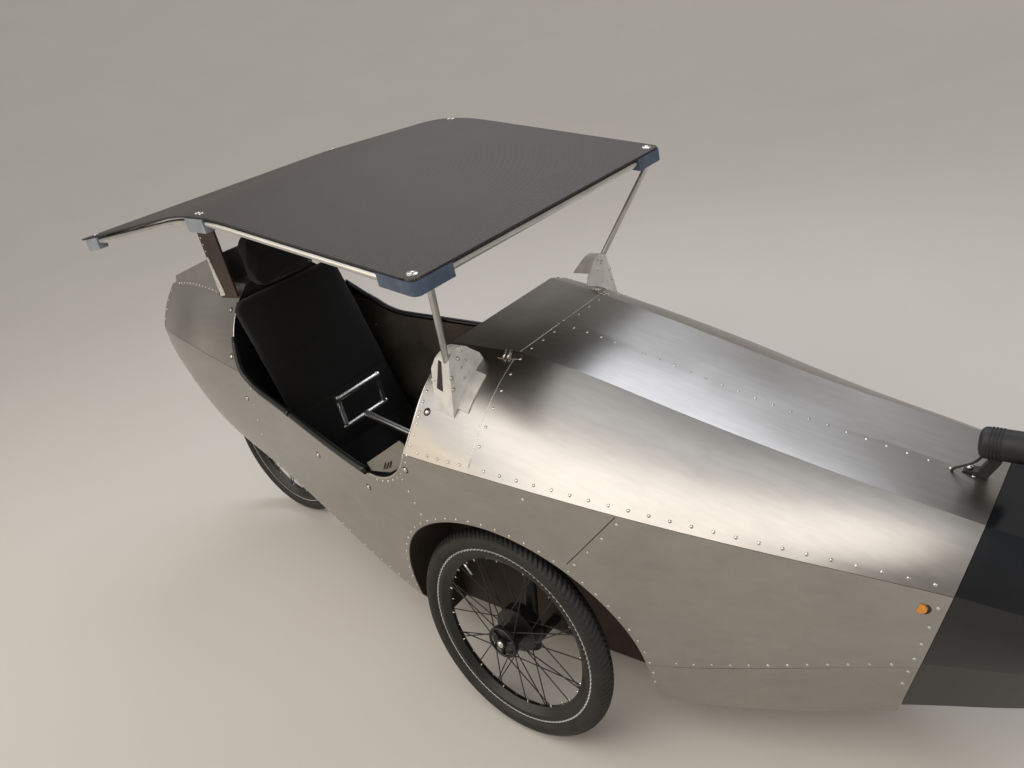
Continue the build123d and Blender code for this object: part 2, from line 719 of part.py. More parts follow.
def tube_run(x0, x1, y):
    """A straight stretch of the roof's side tube between two distances from the axle."""
    start = Vector(AXLE_X + x0, y, roof_z(x0, TUBE_DROP))
    end = Vector(AXLE_X + x1, y, roof_z(x1, TUBE_DROP))
    return cylinder(Plane(origin=start, z_dir=end - start), TUBE_R, 0, (end - start).length)


def tube_bend(x0, x1, y):
    """A bent stretch of the side tube, turned about the roof's bend centre."""
    turn_0, turn_1 = [asin((x - bend_mid_x) / ROOF_BEND) for x in (x0, x1)]
    start = Vector(AXLE_X + x0, y, roof_z(x0, TUBE_DROP))
    centre = Vector(AXLE_X + bend_mid_x, y, bend_centre_z - TUBE_DROP)
    with BuildPart() as bend:
        with BuildSketch(Plane(origin=start, x_dir=(0, 1, 0), z_dir=(-cos(turn_0), 0, sin(turn_0)))):
            Circle(TUBE_R)
        revolve(axis=Axis(centre, (0, -1, 0)), revolution_arc=degrees(turn_0 - turn_1))
    return bend.part


def clamp(x0, x1, y0, y1, thick):
    """A clamp under the roof sheet, between two distances from the axle."""
    with BuildPart() as grip:
        with BuildSketch(Plane.XZ.offset(-y1)):
            with BuildLine():
                a = (AXLE_X + x0, roof_z(x0, ROOF_SHEET + SEAT_GAP))
                b = (AXLE_X + x1, roof_z(x1, ROOF_SHEET + SEAT_GAP))
                Polyline(a, b, (b[0], b[1] - thick), (a[0], a[1] - thick), close=True)
            make_face()
        extrude(amount=y1 - y0)
    return grip.part


with BuildPart() as corners:
    add(clamp(CORNER_FRONT, CORNER_REAR, -ROOF_HALF - CLAMP_OUT, -CORNER_INNER, CORNER_TALL))
    add(block(CORNER_REAR, CORNER_FRONT - CORNER_LEG, CORNER_LEG - ROOF_HALF - CLAMP_OUT, 0, 0, HIGH),
        mode=Mode.SUBTRACT)
    front_edges = corners.edges().filter_by(Axis.Z).group_by(Axis.X)[-1]
    fillet(front_edges.sort_by(Axis.Y)[0], ROOF_ROUND)
    mirror(about=Plane.XZ)
save(corners.part, "roof_corners")

with BuildPart() as clamps:
    for x0, x1 in (MID_CLAMP, END_CLAMP):
        add(clamp(x0, x1, -ROOF_HALF - CLAMP_OUT, CLAMP_LIP + TUBE_R - TUBE_Y, CLAMP_TALL))
    mirror(about=Plane.XZ)
save(clamps.part, "roof_clamps")

with BuildPart() as roof_tubes:
    for y in (-TUBE_Y, TUBE_Y):
        add(tube_run(CORNER_REAR - TUBE_STEP, bend_front, y))
        add(tube_bend(bend_front, MID_CLAMP[0] + TUBE_STEP, y))
        add(tube_bend(MID_CLAMP[1] - TUBE_STEP, bend_rear, y))
        add(tube_run(bend_rear, END_CLAMP[0] + TUBE_STEP, y))
    for x, reach in ((FRONT_TUBE_X, CORNER_INNER), (END_TUBE_X, TUBE_Y - TUBE_R - CLAMP_LIP)):
        add(cylinder(across(x, roof_z(x, TUBE_DROP), SEAT_GAP - reach), TUBE_R, 0, 2 * (reach - SEAT_GAP)))
save(roof_tubes.part, "roof_tubes")

# Each front post leans from a bracket on the hood out to the corner piece
post_foot = Vector(AXLE_X + POST_FOOT[0], -POST_FOOT[1], POST_FOOT[2])
post_top = Vector(AXLE_X + FRONT_TUBE_X, POST_INSET - ROOF_HALF,
                  roof_z(FRONT_TUBE_X, ROOF_SHEET) - CORNER_TALL)
post_plane = Plane(origin=post_foot, z_dir=post_top - post_foot)
with BuildPart() as post:
    add(cylinder(post_plane, POST_R, 0, (post_top - post_foot).length + POST_R))
    add(corners.part, mode=Mode.SUBTRACT)
    mirror(about=Plane.XZ)
save(post.part, "roof_posts")


def bracket_prism(inset, start):
    """The bracket's front outline, drawn in by an inset, as a prism towards the rear."""
    outer, inner = [[(-w, z) for w, z in edge] for edge in (BRACKET_OUTER, BRACKET_INNER)]
    with BuildPart() as prism:
        with BuildSketch(Plane.YZ.offset(AXLE_X + BRACKET_X - start)):
            with BuildLine():
                Polyline(*outer)
                ThreePointArc(outer[-1], (-BRACKET_CROWN[0], BRACKET_CROWN[1]), inner[0])
                Polyline(*inner)
                Line(inner[-1], outer[0])
            make_face()
            if inset:
                offset(amount=-inset, kind=Kind.INTERSECTION)
        extrude(amount=-BRACKET_DEEP)
    return prism.part


# One bent sheet: a front plate, a flange round its outer and upper edges, and a foot on the hood
body = solid_hull(HULL, -SEAT_GAP)
with BuildPart() as post_bracket:
    add(bracket_prism(0, 0))
    add(bracket_prism(BRACKET_SHEET, BRACKET_SHEET), mode=Mode.SUBTRACT)
    add(block(BRACKET_X - BRACKET_DEEP, BRACKET_X - BRACKET_SHEET, -BRACKET_OPEN, 0, 0, HIGH),
        mode=Mode.SUBTRACT)
    add(zone(BRACKET_SIDE), mode=Mode.INTERSECT)
    add(block(BRACKET_X, WIDE, -WIDE, 0, 0, HIGH), mode=Mode.SUBTRACT)

with BuildPart() as bracket_foot:
    add(solid_hull(HULL, -SEAT_GAP - BRACKET_SHEET))
    add(block(BRACKET_X - BRACKET_SHEET, BRACKET_SIDE[0][0], -BRACKET_FOOT[1], -BRACKET_FOOT[0],
              BRACKET_SIDE[0][1], HIGH), mode=Mode.INTERSECT)

with BuildPart() as post_brackets:
    add(post_bracket.part)
    add(bracket_foot.part)
    add(body, mode=Mode.SUBTRACT)
    add(cylinder(post_plane, POST_R + SEAT_GAP, -POST_R, WIDE), mode=Mode.SUBTRACT)
    mirror(about=Plane.XZ)
save(post_brackets.part, "post_brackets")

pylon_front, pylon_rear = PYLON_X + PYLON_WIDE / 2, PYLON_X - PYLON_WIDE / 2
end_tube_z = roof_z(END_TUBE_X, TUBE_DROP)
with BuildPart() as pylon:
    add(zone([(pylon_front, 700), (pylon_rear, 700),
              (pylon_rear, roof_z(pylon_rear, ROOF_SHEET + SEAT_GAP)),
              (pylon_front, roof_z(pylon_front, ROOF_SHEET + SEAT_GAP))],
             -PYLON_Y - PYLON_THICK / 2, -PYLON_Y + PYLON_THICK / 2))
    add(body, mode=Mode.SUBTRACT)
    add(cylinder(across(END_TUBE_X, end_tube_z, -WIDE), TUBE_R + SEAT_GAP, 0, WIDE), mode=Mode.SUBTRACT)
    add(block(-WIDE * 3, END_TUBE_X + TUBE_R + SEAT_GAP, -WIDE, 0, end_tube_z, HIGH), mode=Mode.SUBTRACT)
    mirror(about=Plane.XZ)
save(pylon.part, "roof_pylons")

with BuildPart() as fairing:
    for x, w_low, w_top, z_top in FAIRING:
        with BuildSketch(Plane.YZ.offset(AXLE_X + x)):
            with BuildLine():
                Polyline((-w_low, 760), (-w_top, z_top), (w_top, z_top), (w_low, 760), close=True)
            make_face()
    loft()
    add(body, mode=Mode.SUBTRACT)
save(fairing.part, "tail_fairing")

# Lamps

with BuildPart() as headlight:
    with BuildSketch(Plane.YZ.offset(AXLE_X + LAMP_X - LAMP_LONG / 2)):
        with Locations((0, LAMP_Z)):
            Circle(LAMP_R)
    extrude(amount=LAMP_LONG)
    fillet(headlight.faces().sort_by(Axis.X)[0].edges(), LAMP_ROUND)
save(headlight.part, "headlight")

with BuildPart() as lamp_bracket:
    with BuildSketch(Plane.XZ.offset(-LAMP_ARM_HALF)):
        with BuildLine():
            Polyline(*[(AXLE_X + x, z) for x, z in LAMP_ARM], close=True)
        make_face()
    extrude(amount=2 * LAMP_ARM_HALF)
    add(body, mode=Mode.SUBTRACT)
    add(headlight.part, mode=Mode.SUBTRACT)
save(lamp_bracket.part, "headlight_bracket")

# The lamp's lead, out of a hole in the hood and up into the lamp, each arc as wide as its runs allow
lead_points = [Vector(AXLE_X + x, y, z) for x, y, z in LEAD_PATH]
lead_runs = [b - a for a, b in zip(lead_points, lead_points[1:])]
lead_radii = []
for run, next_run in zip(lead_runs, lead_runs[1:]):
    reach = LEAD_ARC_SHARE * min(run.length, next_run.length)
    lead_radii.append(reach / tan(radians(run.get_angle(next_run)) / 2))
print("lead radii", [round(r, 1) for r in lead_radii])
with BuildPart() as lead:
    with BuildLine() as lead_route:
        FilletPolyline(*lead_points, radius=lead_radii)
    with BuildSketch(Plane(origin=lead_points[0], z_dir=lead_runs[0])):
        Circle(LEAD_R)
    sweep(path=lead_route.wires()[0])
    add(body, mode=Mode.SUBTRACT)
    add(headlight.part, mode=Mode.SUBTRACT)
save(lead.part, "headlight_lead")

with BuildPart() as indicators:
    add(cylinder(across(INDICATOR_X, INDICATOR_Z, -INDICATOR_W), INDICATOR_R, 0, 2 * INDICATOR_W))
    add(body, mode=Mode.SUBTRACT)
save(indicators.part, "indicators")
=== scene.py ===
# %% [markdown]
# A velomobile is a pedal vehicle with a closed body. This one is made of bare
# aluminium sheets riveted along their seams, with a black nose, an open cockpit and a
# solar roof on posts. The solid model gives every rigid piece at its real size. This
# script dresses it: it gives each piece its finish and adds what is too fine for the
# solid model, such as rivets, tread, screws, hinges and seams in the cloth.

# %% Load the solid model
from math import atan2, cos, hypot, pi, radians, sin, tan

import bmesh
import bpy
from mathutils import Matrix, Vector, noise
from mathutils.bvhtree import BVHTree


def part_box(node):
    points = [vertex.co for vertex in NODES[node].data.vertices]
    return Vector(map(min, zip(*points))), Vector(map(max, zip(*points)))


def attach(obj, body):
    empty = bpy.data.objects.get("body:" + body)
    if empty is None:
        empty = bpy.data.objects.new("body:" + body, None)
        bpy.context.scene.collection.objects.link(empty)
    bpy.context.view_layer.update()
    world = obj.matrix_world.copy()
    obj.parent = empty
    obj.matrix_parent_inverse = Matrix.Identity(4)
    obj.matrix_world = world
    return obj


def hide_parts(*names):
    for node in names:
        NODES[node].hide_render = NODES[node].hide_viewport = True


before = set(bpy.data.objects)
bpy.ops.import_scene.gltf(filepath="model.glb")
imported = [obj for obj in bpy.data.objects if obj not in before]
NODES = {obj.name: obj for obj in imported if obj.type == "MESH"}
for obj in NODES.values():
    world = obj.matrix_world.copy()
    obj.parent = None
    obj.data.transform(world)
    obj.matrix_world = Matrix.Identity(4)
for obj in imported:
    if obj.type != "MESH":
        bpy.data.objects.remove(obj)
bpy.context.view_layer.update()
MM = 0.001

# %% [markdown]
# Most places on this vehicle are easiest to name from the front axle, so the axle is
# measured from the tyres of the solid model: the middle of a tyre's box is its centre.

# %% Find the wheels
def middle(node_name):
    """The centre of a node's box."""
    low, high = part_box(node_name)
    return (Vector(low) + Vector(high)) / 2


AXLE_X = middle("tyre_front_right").x
WHEEL_CAMBER = radians(6.5)
WHEELS = {
    "front_right": (middle("tyre_front_right"), Vector((0, -cos(WHEEL_CAMBER), sin(WHEEL_CAMBER)))),
    "front_left": (middle("tyre_front_left"), Vector((0, cos(WHEEL_CAMBER), sin(WHEEL_CAMBER)))),
    "rear": (middle("tyre_rear"), Vector((0, -1, 0))),
}
WHEEL_BODY = {
    "front_right": "front_wheel_right",
    "front_left": "front_wheel_left",
    "rear": "rear_wheel",
}


def ahead(x_mm):
    """A distance from the front axle in millimetres as a place on the X axis in metres."""
    return AXLE_X + x_mm * MM


print("front axle at", round(AXLE_X, 4))

# %% [markdown]
# The camera stands where the photographer stood: to the front right of the vehicle and
# above it, looking down over the hood. Its place and its three axes were worked out
# from the circle of the front wheel and the corners of the roof, so the picture lines
# up with the solid model without any fitting.

# %% Camera
CAMERA_PLACE = Vector((AXLE_X + 1.018, -1.208, 1.467))
CAMERA_RIGHT = Vector((0.7651, 0.6106, -0.2045))
CAMERA_UP = Vector((-0.1324, 0.4600, 0.8780))
CAMERA_BACK = Vector((0.6302, -0.6447, 0.4328))
FOCAL_PIXELS = 807.0
PICTURE_WIDTH = 1024
SENSOR_MM = 36.0


def add_object(name, data):
    """A new object in the scene."""
    made = bpy.data.objects.new(name, data)
    bpy.context.scene.collection.objects.link(made)
    return made


camera_data = bpy.data.cameras.new("camera")
camera_data.sensor_width = SENSOR_MM
camera_data.lens = FOCAL_PIXELS / PICTURE_WIDTH * SENSOR_MM
camera_data.clip_start = 0.02
camera = add_object("camera", camera_data)
turn = Matrix((CAMERA_RIGHT, CAMERA_UP, CAMERA_BACK)).transposed().to_4x4()
camera.matrix_world = Matrix.Translation(CAMERA_PLACE) @ turn
bpy.context.scene.camera = camera
print("lens", round(camera_data.lens, 2), "mm")

# %% [markdown]
# A material is a small network of nodes. One function adds a node, sets its settings
# and fills its inputs, either with a value or with another node's output. Colours are
# written as the web writes them and turned into the linear values that light needs.

# %% Material helpers
def linear(hex_colour):
    """An sRGB hex colour as linear red, green, blue and alpha."""
    parts = [int(hex_colour[i:i + 2], 16) / 255 for i in (1, 3, 5)]
    return tuple([p / 12.92 if p <= 0.04045 else ((p + 0.055) / 1.055) ** 2.4 for p in parts] + [1.0])


def node(tree, kind, sockets=None, **settings):
    """Add one node. An input takes a value, or another node's output as a link."""
    made = tree.nodes.new(kind)
    for key, value in settings.items():
        setattr(made, key, value)
    for key, value in (sockets or {}).items():
        if isinstance(value, bpy.types.NodeSocket):
            tree.links.new(value, made.inputs[key])
        else:
            made.inputs[key].default_value = value
    return made


def new_material(name):
    """An empty material and the Object coordinates that its patterns read."""
    material = bpy.data.materials.new(name)
    material.use_nodes = True
    tree = material.node_tree
    tree.nodes.clear()
    place = node(tree, "ShaderNodeTexCoord").outputs["Object"]
    return material, tree, place


def surface(tree, sockets):
    """The shader and the output of a material."""
    shader = node(tree, "ShaderNodeBsdfPrincipled", sockets)
    node(tree, "ShaderNodeOutputMaterial", {"Surface": shader.outputs[0]})


def stretched(tree, place, scale):
    """Coordinates scaled by axis, for a pattern with a grain."""
    return node(tree, "ShaderNodeMapping", {"Vector": place, "Scale": scale}).outputs[0]


def cloud(tree, place, size, detail=3.0, roughness=0.5, distortion=0.0):
    """Soft noise whose blotches are about size metres across."""
    made = node(tree, "ShaderNodeTexNoise", {
        "Vector": place, "Scale": 1 / size, "Detail": detail, "Roughness": roughness,
        "Distortion": distortion})
    return made.outputs["Fac"]


def ramp(tree, value, stops):
    """Colours or greys along a value from 0 to 1."""
    made = node(tree, "ShaderNodeValToRGB", {"Fac": value})
    elements = made.color_ramp.elements
    while len(elements) < len(stops):
        elements.new(0.5)
    for element, (position, colour) in zip(elements, stops):
        element.position = position
        element.color = linear(colour) if isinstance(colour, str) else (colour, colour, colour, 1)
    return made.outputs["Color"]


def span(tree, value, low, high):
    """A value from 0 to 1 as one from low to high."""
    return node(tree, "ShaderNodeMapRange", {"Value": value, "To Min": low, "To Max": high}).outputs[0]


def mixed(tree, share, first, second):
    """Two colours mixed by a share."""
    return node(tree, "ShaderNodeMix", {0: share, 6: first, 7: second}, data_type="RGBA").outputs[2]


def bands(tree, place, pitch, axis, distortion=0.0):
    """Even bands across an axis, one each pitch metres. The texture draws 20 / (2 pi) a unit."""
    return node(tree, "ShaderNodeTexWave", {"Vector": place, "Scale": 2 * pi / 20 / pitch,
                                            "Distortion": distortion}, bands_direction=axis).outputs["Fac"]


def bumped(tree, height, depth, under=None):
    """A bump of the given depth in metres, on top of another bump if one is given."""
    sockets = {"Height": height, "Distance": depth, "Strength": 1.0}
    if under:
        sockets["Normal"] = under
    return node(tree, "ShaderNodeBump", sockets).outputs[0]


def paint(piece, material):
    """Give a whole piece one material."""
    piece.data.materials.clear()
    piece.data.materials.append(material)


print("helpers ready")

# %% [markdown]
# The body is bare aluminium sheet, finished by hand with an abrasive pad. It is a true
# metal, so nearly all that is seen is reflection: the colour stays pale, the roughness
# spreads each reflection into a soft band, and very shallow waves in the sheet bend
# those bands. Real thin sheet waves by about a millimetre over a hand's width, and the
# pad leaves long faint strokes and cloudy patches. Each of these is one noise pattern.

# %% Bare aluminium sheet
def make_sheet_aluminium(name, tint_low, tint_high, rough_low, rough_high, wave_depth):
    material, tree, place = new_material(name)
    patches = cloud(tree, place, 0.22, detail=4, roughness=0.55, distortion=0.4)
    strokes = cloud(tree, stretched(tree, place, (5.0, 90.0, 40.0)), 1.0, detail=5, roughness=0.7)
    swirls = cloud(tree, place, 0.030, detail=5, roughness=0.7, distortion=1.5)
    tone = mixed(tree, 0.5, patches, strokes)
    colour = ramp(tree, tone, ((0.30, tint_low), (0.70, tint_high)))
    worn = mixed(tree, 0.35, tone, swirls)
    roughness = span(tree, worn, rough_low, rough_high)
    waves = cloud(tree, stretched(tree, place, (0.8, 1.3, 1.3)), 0.38, detail=1.0, roughness=0.3)
    dents = cloud(tree, place, 0.11, detail=0.5, roughness=0.3, distortion=0.3)
    sheet = bumped(tree, waves, wave_depth)
    sheet = bumped(tree, dents, wave_depth * 0.12, sheet)
    sheet = bumped(tree, strokes, 0.00003, sheet)
    surface(tree, {"Base Color": colour, "Metallic": 1.0, "Roughness": roughness, "Normal": sheet,
                   "Anisotropic": 0.25})
    return material


BODY_SHEET = make_sheet_aluminium("abraded aluminium sheet", "#a19e9a", "#b5b2ae", 0.23, 0.37, 0.0050)
INNER_SHEET = make_sheet_aluminium("mill aluminium inside", "#8f8c86", "#aaa7a1", 0.38, 0.55, 0.004)
print("aluminium ready")

# %% [markdown]
# The other finishes are simpler. A moulded black plastic is dark and glossy with a fine
# orange peel; rubber is dark and dull with a fine grain; paint has a little gloss over a
# smooth colour. One function makes this family, from two colours, two roughnesses and a
# grain of a real size.

# %% Plastics, paints and rubber
def make_coat(name, dark, light, rough_low, rough_high, grain=0.0015, depth=0.00003, blotch=0.05,
              sockets=None):
    """A finish with cloudy colour, uneven gloss and a fine grain."""
    material, tree, place = new_material(name)
    patches = cloud(tree, place, blotch, detail=4, roughness=0.6)
    colour = ramp(tree, patches, ((0.32, dark), (0.68, light)))
    roughness = span(tree, cloud(tree, place, blotch * 0.4, detail=3), rough_low, rough_high)
    normal = bumped(tree, cloud(tree, place, grain, detail=2), depth)
    values = {"Base Color": colour, "Roughness": roughness, "Normal": normal}
    values.update(sockets or {})
    surface(tree, values)
    return material


NOSE_PLASTIC = make_coat("glossy black moulded plastic", "#0b0d11", "#14171c", 0.14, 0.26,
                         grain=0.012, depth=0.00012, blotch=0.20, sockets={"IOR": 1.5})
EDGE_RUBBER = make_coat("black rubber tube", "#0f1011", "#1a1b1d", 0.24, 0.38,
                        grain=0.002, depth=0.00004)
RIM_PAINT = make_coat("black anodised rim", "#0c0c0d", "#171717", 0.28, 0.42)
MATT_PLASTIC = make_coat("matt black plastic", "#121213", "#202022", 0.42, 0.60,
                         grain=0.0008, depth=0.00006)
UPRIGHT_METAL = make_coat("black powder coat", "#101011", "#1c1c1d", 0.34, 0.50,
                          grain=0.0012, depth=0.00006)
WELL_LINING = make_coat("dark brown lining board", "#1b130e", "#2f2118", 0.55, 0.80,
                        grain=0.004, depth=0.00025, blotch=0.10)
BROWN_PLATE = make_coat("brown stained plate", "#2a1c14", "#4a3325", 0.35, 0.60,
                        grain=0.003, depth=0.0001, blotch=0.06)
# This white stands in for the bright reflection of bare sheet: a painted reflection.
WHITE_REFLECTION_PLATE = make_coat("white plate with painted reflection", "#c9c8c4", "#e4e3df", 0.30, 0.48,
                        grain=0.002, depth=0.00003, blotch=0.03)
AMBER_LENS = make_coat("amber lens", "#b8660e", "#e2962a", 0.12, 0.22, sockets={"Coat Weight": 0.6})
print("coats ready")

# %% [markdown]
# Tubes are drawn aluminium: smooth, paler and glossier than the sheets, with a faint fine
# grain. The rivets and screws are plain bright metal.

# %% Bright metals
def make_bright_metal(name, low, high, rough_low, rough_high):
    material, tree, place = new_material(name)
    grain = cloud(tree, place, 0.003, detail=2)
    patches = cloud(tree, place, 0.06, detail=3)
    colour = ramp(tree, patches, ((0.30, low), (0.70, high)))
    surface(tree, {"Base Color": colour, "Metallic": 1.0,
                   "Roughness": span(tree, patches, rough_low, rough_high),
                   "Normal": bumped(tree, grain, 0.000004)})
    return material


TUBE_METAL = make_bright_metal("drawn aluminium tube", "#c6c6c4", "#d8d8d6", 0.26, 0.34)
RIVET_METAL = make_bright_metal("bright rivet heads", "#b9b6b0", "#e6e3dd", 0.16, 0.30)
print("metals ready")

# %% [markdown]
# The printed corner pieces of the roof were made on a plastic printer in blue-grey
# filament. Its layers show as fine level lines, 0.25 mm in life and drawn here as 1 mm,
# since finer lines would not show in the picture.

# %% Printed plastic
def make_printed(name, dark, light):
    material, tree, place = new_material(name)
    layers = bands(tree, place, 1.0 * MM, "Z", 0.4)
    colour = ramp(tree, cloud(tree, place, 0.03, detail=4), ((0.3, dark), (0.7, light)))
    surface(tree, {"Base Color": colour, "Roughness": span(tree, layers, 0.32, 0.48),
                   "Normal": bumped(tree, layers, 0.00008)})
    return material


PRINTED_BLUE = make_printed("blue-grey printed plastic", "#39475a", "#50617a")
# The clamps are the same blue-grey plastic as the corners; this lighter grey copy is painted light, for the
# strong light on their sides.
PRINTED_PAINTED_LIGHT = make_printed("grey printed plastic", "#7b838d", "#9aa3ad")
print("printed plastic ready")

# %% [markdown]
# The roof is a flexible solar sheet: dark cells under a clear film that is embossed with
# fine ribs. The ribs run along the vehicle and across it, 6 mm apart, and carry a painted
# highlight: pale lines in the colour where they catch the light. The film itself is dull
# and a little brown.

# %% Solar sheet
RIB_PITCH = 6.0 * MM

def make_solar(name):
    material, tree, place = new_material(name)
    along = bands(tree, place, RIB_PITCH, "Y", 0.3)
    across = bands(tree, place, RIB_PITCH, "X", 0.3)
    fade = cloud(tree, place, 0.10, detail=5, roughness=0.65)
    ribs = mixed(tree, 0.4, along, across)
    # The pale rib lines in this colour are a painted highlight.
    colour = mixed(tree, fade, ramp(tree, ribs, ((0.25, "#161311"), (0.85, "#4c443e"))),
                   ramp(tree, ribs, ((0.25, "#221d1b"), (0.85, "#5f5650"))))
    surface(tree, {"Base Color": colour, "Roughness": span(tree, fade, 0.42, 0.58),
                   "Normal": bumped(tree, ribs, 0.0010)})
    return material


SOLAR_SHEET = make_solar("ribbed solar film")
print("solar film ready")

# %% [markdown]
# Seat and headrest are covered with black woven cloth. The weave is about 2 mm in life
# and is drawn as two crossed waves, with sheen because cloth brightens at its edges.

# %% Cloth
THREAD_PITCH = 2.0 * MM

def make_cloth(name, dark, light):
    material, tree, place = new_material(name)
    warp = bands(tree, place, THREAD_PITCH, "Y", 0.4)
    weft = bands(tree, place, THREAD_PITCH, "Z", 0.4)
    weave = mixed(tree, 0.5, warp, weft)
    wear = cloud(tree, place, 0.09, detail=4, roughness=0.6)
    colour = ramp(tree, mixed(tree, 0.6, weave, wear), ((0.3, dark), (0.75, light)))
    surface(tree, {"Base Color": colour, "Roughness": 0.9, "Sheen Weight": 0.12,
                   "Sheen Roughness": 0.5, "Normal": bumped(tree, weave, 0.0003)})
    return material


SEAT_CLOTH = make_cloth("black woven cloth", "#070708", "#121214")
print("cloth ready")

# %% [markdown]
# Now every node of the solid model gets its finish. A node keeps its own mesh; only the
# material in its slots changes. The faces of a sheet that look at the middle of the body
# get a darker, duller and less metallic finish of their own.

# %% Finishes of the solid pieces
UPPER_SHEETS = ("hood_right", "hood_left", "cowl", "tail_deck")
SIDE_SHEETS = ("side_front_right", "side_front_left", "side_mid_right", "side_mid_left",
               "side_tail_right", "side_tail_left")
FINISHES = {
    BODY_SHEET: UPPER_SHEETS + SIDE_SHEETS + ("strakes", "floor_pan", "tail_end", "tail_fairing"),
    NOSE_PLASTIC: ("nose_cone",),
    EDGE_RUBBER: ("cockpit_trim",),
    RIM_PAINT: ("wheel_front_left", "wheel_front_right", "wheel_rear"),
    MATT_PLASTIC: ("dash_panel", "rear_bulkhead", "headlight", "headlight_bracket", "tyre_front_left",
                   "tyre_front_right", "tyre_rear", "headlight_lead"),
    UPRIGHT_METAL: ("tiller_post", "knuckle_left", "knuckle_right", "strut_mounts", "rear_fork",
                    "seat_frame"),
    WELL_LINING: ("wheel_wells",),
    BROWN_PLATE: ("roof_pylons",),
    WHITE_REFLECTION_PLATE: ("post_brackets",),
    AMBER_LENS: ("indicators",),
    TUBE_METAL: ("tiller", "roof_tubes", "roof_posts"),
    PRINTED_BLUE: ("roof_corners",),
    PRINTED_PAINTED_LIGHT: ("roof_clamps",),
    SOLAR_SHEET: ("roof_panel",),
    SEAT_CLOTH: ("seat", "headrest"),
}
for finish, names in FINISHES.items():
    for name in names:
        paint(NODES[name], finish)

INNER_DULL = make_coat("dull aluminium inside", "#5d5850", "#7d776d", 0.50, 0.66,
                       grain=0.004, depth=0.0001, blotch=0.12, sockets={"Metallic": 0.45})
BODY_MIDDLE_Z = 520 * MM
for name in FINISHES[BODY_SHEET]:
    mesh = NODES[name].data
    mesh.materials.append(INNER_DULL)
    for polygon in mesh.polygons:
        outward = Vector((0, polygon.center.y, polygon.center.z - BODY_MIDDLE_Z))
        polygon.material_index = int(polygon.normal.dot(outward) < 0)
dressed = [name for names in FINISHES.values() for name in names]
print("dressed", len(dressed), "missing", sorted(set(NODES) - set(dressed)))

# %% [markdown]
# The small pieces sit on the skin, so their places are found by casting rays at the
# solid model. A ray from the side that meets the near sheet gives a place, the way the
# sheet faces there, and the name of the sheet.

# %% Find places on the skin
SKIN_SHEETS = UPPER_SHEETS + SIDE_SHEETS + ("strakes",)
RAY_REACH = 2.0
NEAR_SIDE = 20 * MM


def ray_target(names):
    """One search tree over several nodes, and the node that each face belongs to."""
    corners, faces, owners = [], [], []
    for name in names:
        first = len(corners)
        corners += [v.co.copy() for v in NODES[name].data.vertices]
        for polygon in NODES[name].data.polygons:
            faces.append([first + i for i in polygon.vertices])
            owners.append(name)
    return BVHTree.FromPolygons(corners, faces), owners


def cast(target, start, direction):
    """The place that a ray meets, the outward normal there, and the node's name, or None."""
    place, normal, face, _ = target[0].ray_cast(start, direction)
    if place is None:
        return None
    if normal.dot(direction) > 0:
        normal = -normal
    return place, normal, target[1][face]


def from_side(x_mm, z, side, target=None):
    """What a level ray across the vehicle meets on its near side."""
    hit = cast(target or SKIN, Vector((ahead(x_mm), side * RAY_REACH, z)), Vector((0, -side, 0)))
    return hit if hit and side * hit[0].y > NEAR_SIDE else None


def from_above(x_mm, y, target=None):
    """What a ray straight down meets."""
    return cast(target or SKIN, Vector((ahead(x_mm), y, RAY_REACH)), Vector((0, 0, -1)))


def halved(low, high, is_high, rounds=14):
    """The value where a test turns true, found by halving."""
    for _ in range(rounds):
        middle_value = (low + high) / 2
        low, high = (low, middle_value) if is_high(middle_value) else (middle_value, high)
    return high


def seam_height(x_mm, side, low, high, sheets_above):
    """Height of a lengthwise seam: above it a ray meets one of the given sheets."""
    def is_above(z):
        hit = from_side(x_mm, z, side)
        return hit is None or hit[2] in sheets_above
    return halved(low, high, is_above)


SKIN = ray_target(SKIN_SHEETS)
print("skin faces", len(SKIN[1]), "seam at the axle", round(seam_height(0, -1, 0.5, 0.8, UPPER_SHEETS), 4))

# %% [markdown]
# Every rivet is the same small dome. A Geometry Nodes tree sets one dome on each point of
# a mesh, turned to face along the attribute that the point carries, and two named inputs
# give the head's size. Domed screws use the same tree with larger numbers.

# %% Rivet heads by Geometry Nodes
HEAD_INPUTS = (("Geometry", "Geometry"), ("Head radius", "Float"), ("Head height", "Float"),
               ("Finish", "Material"))


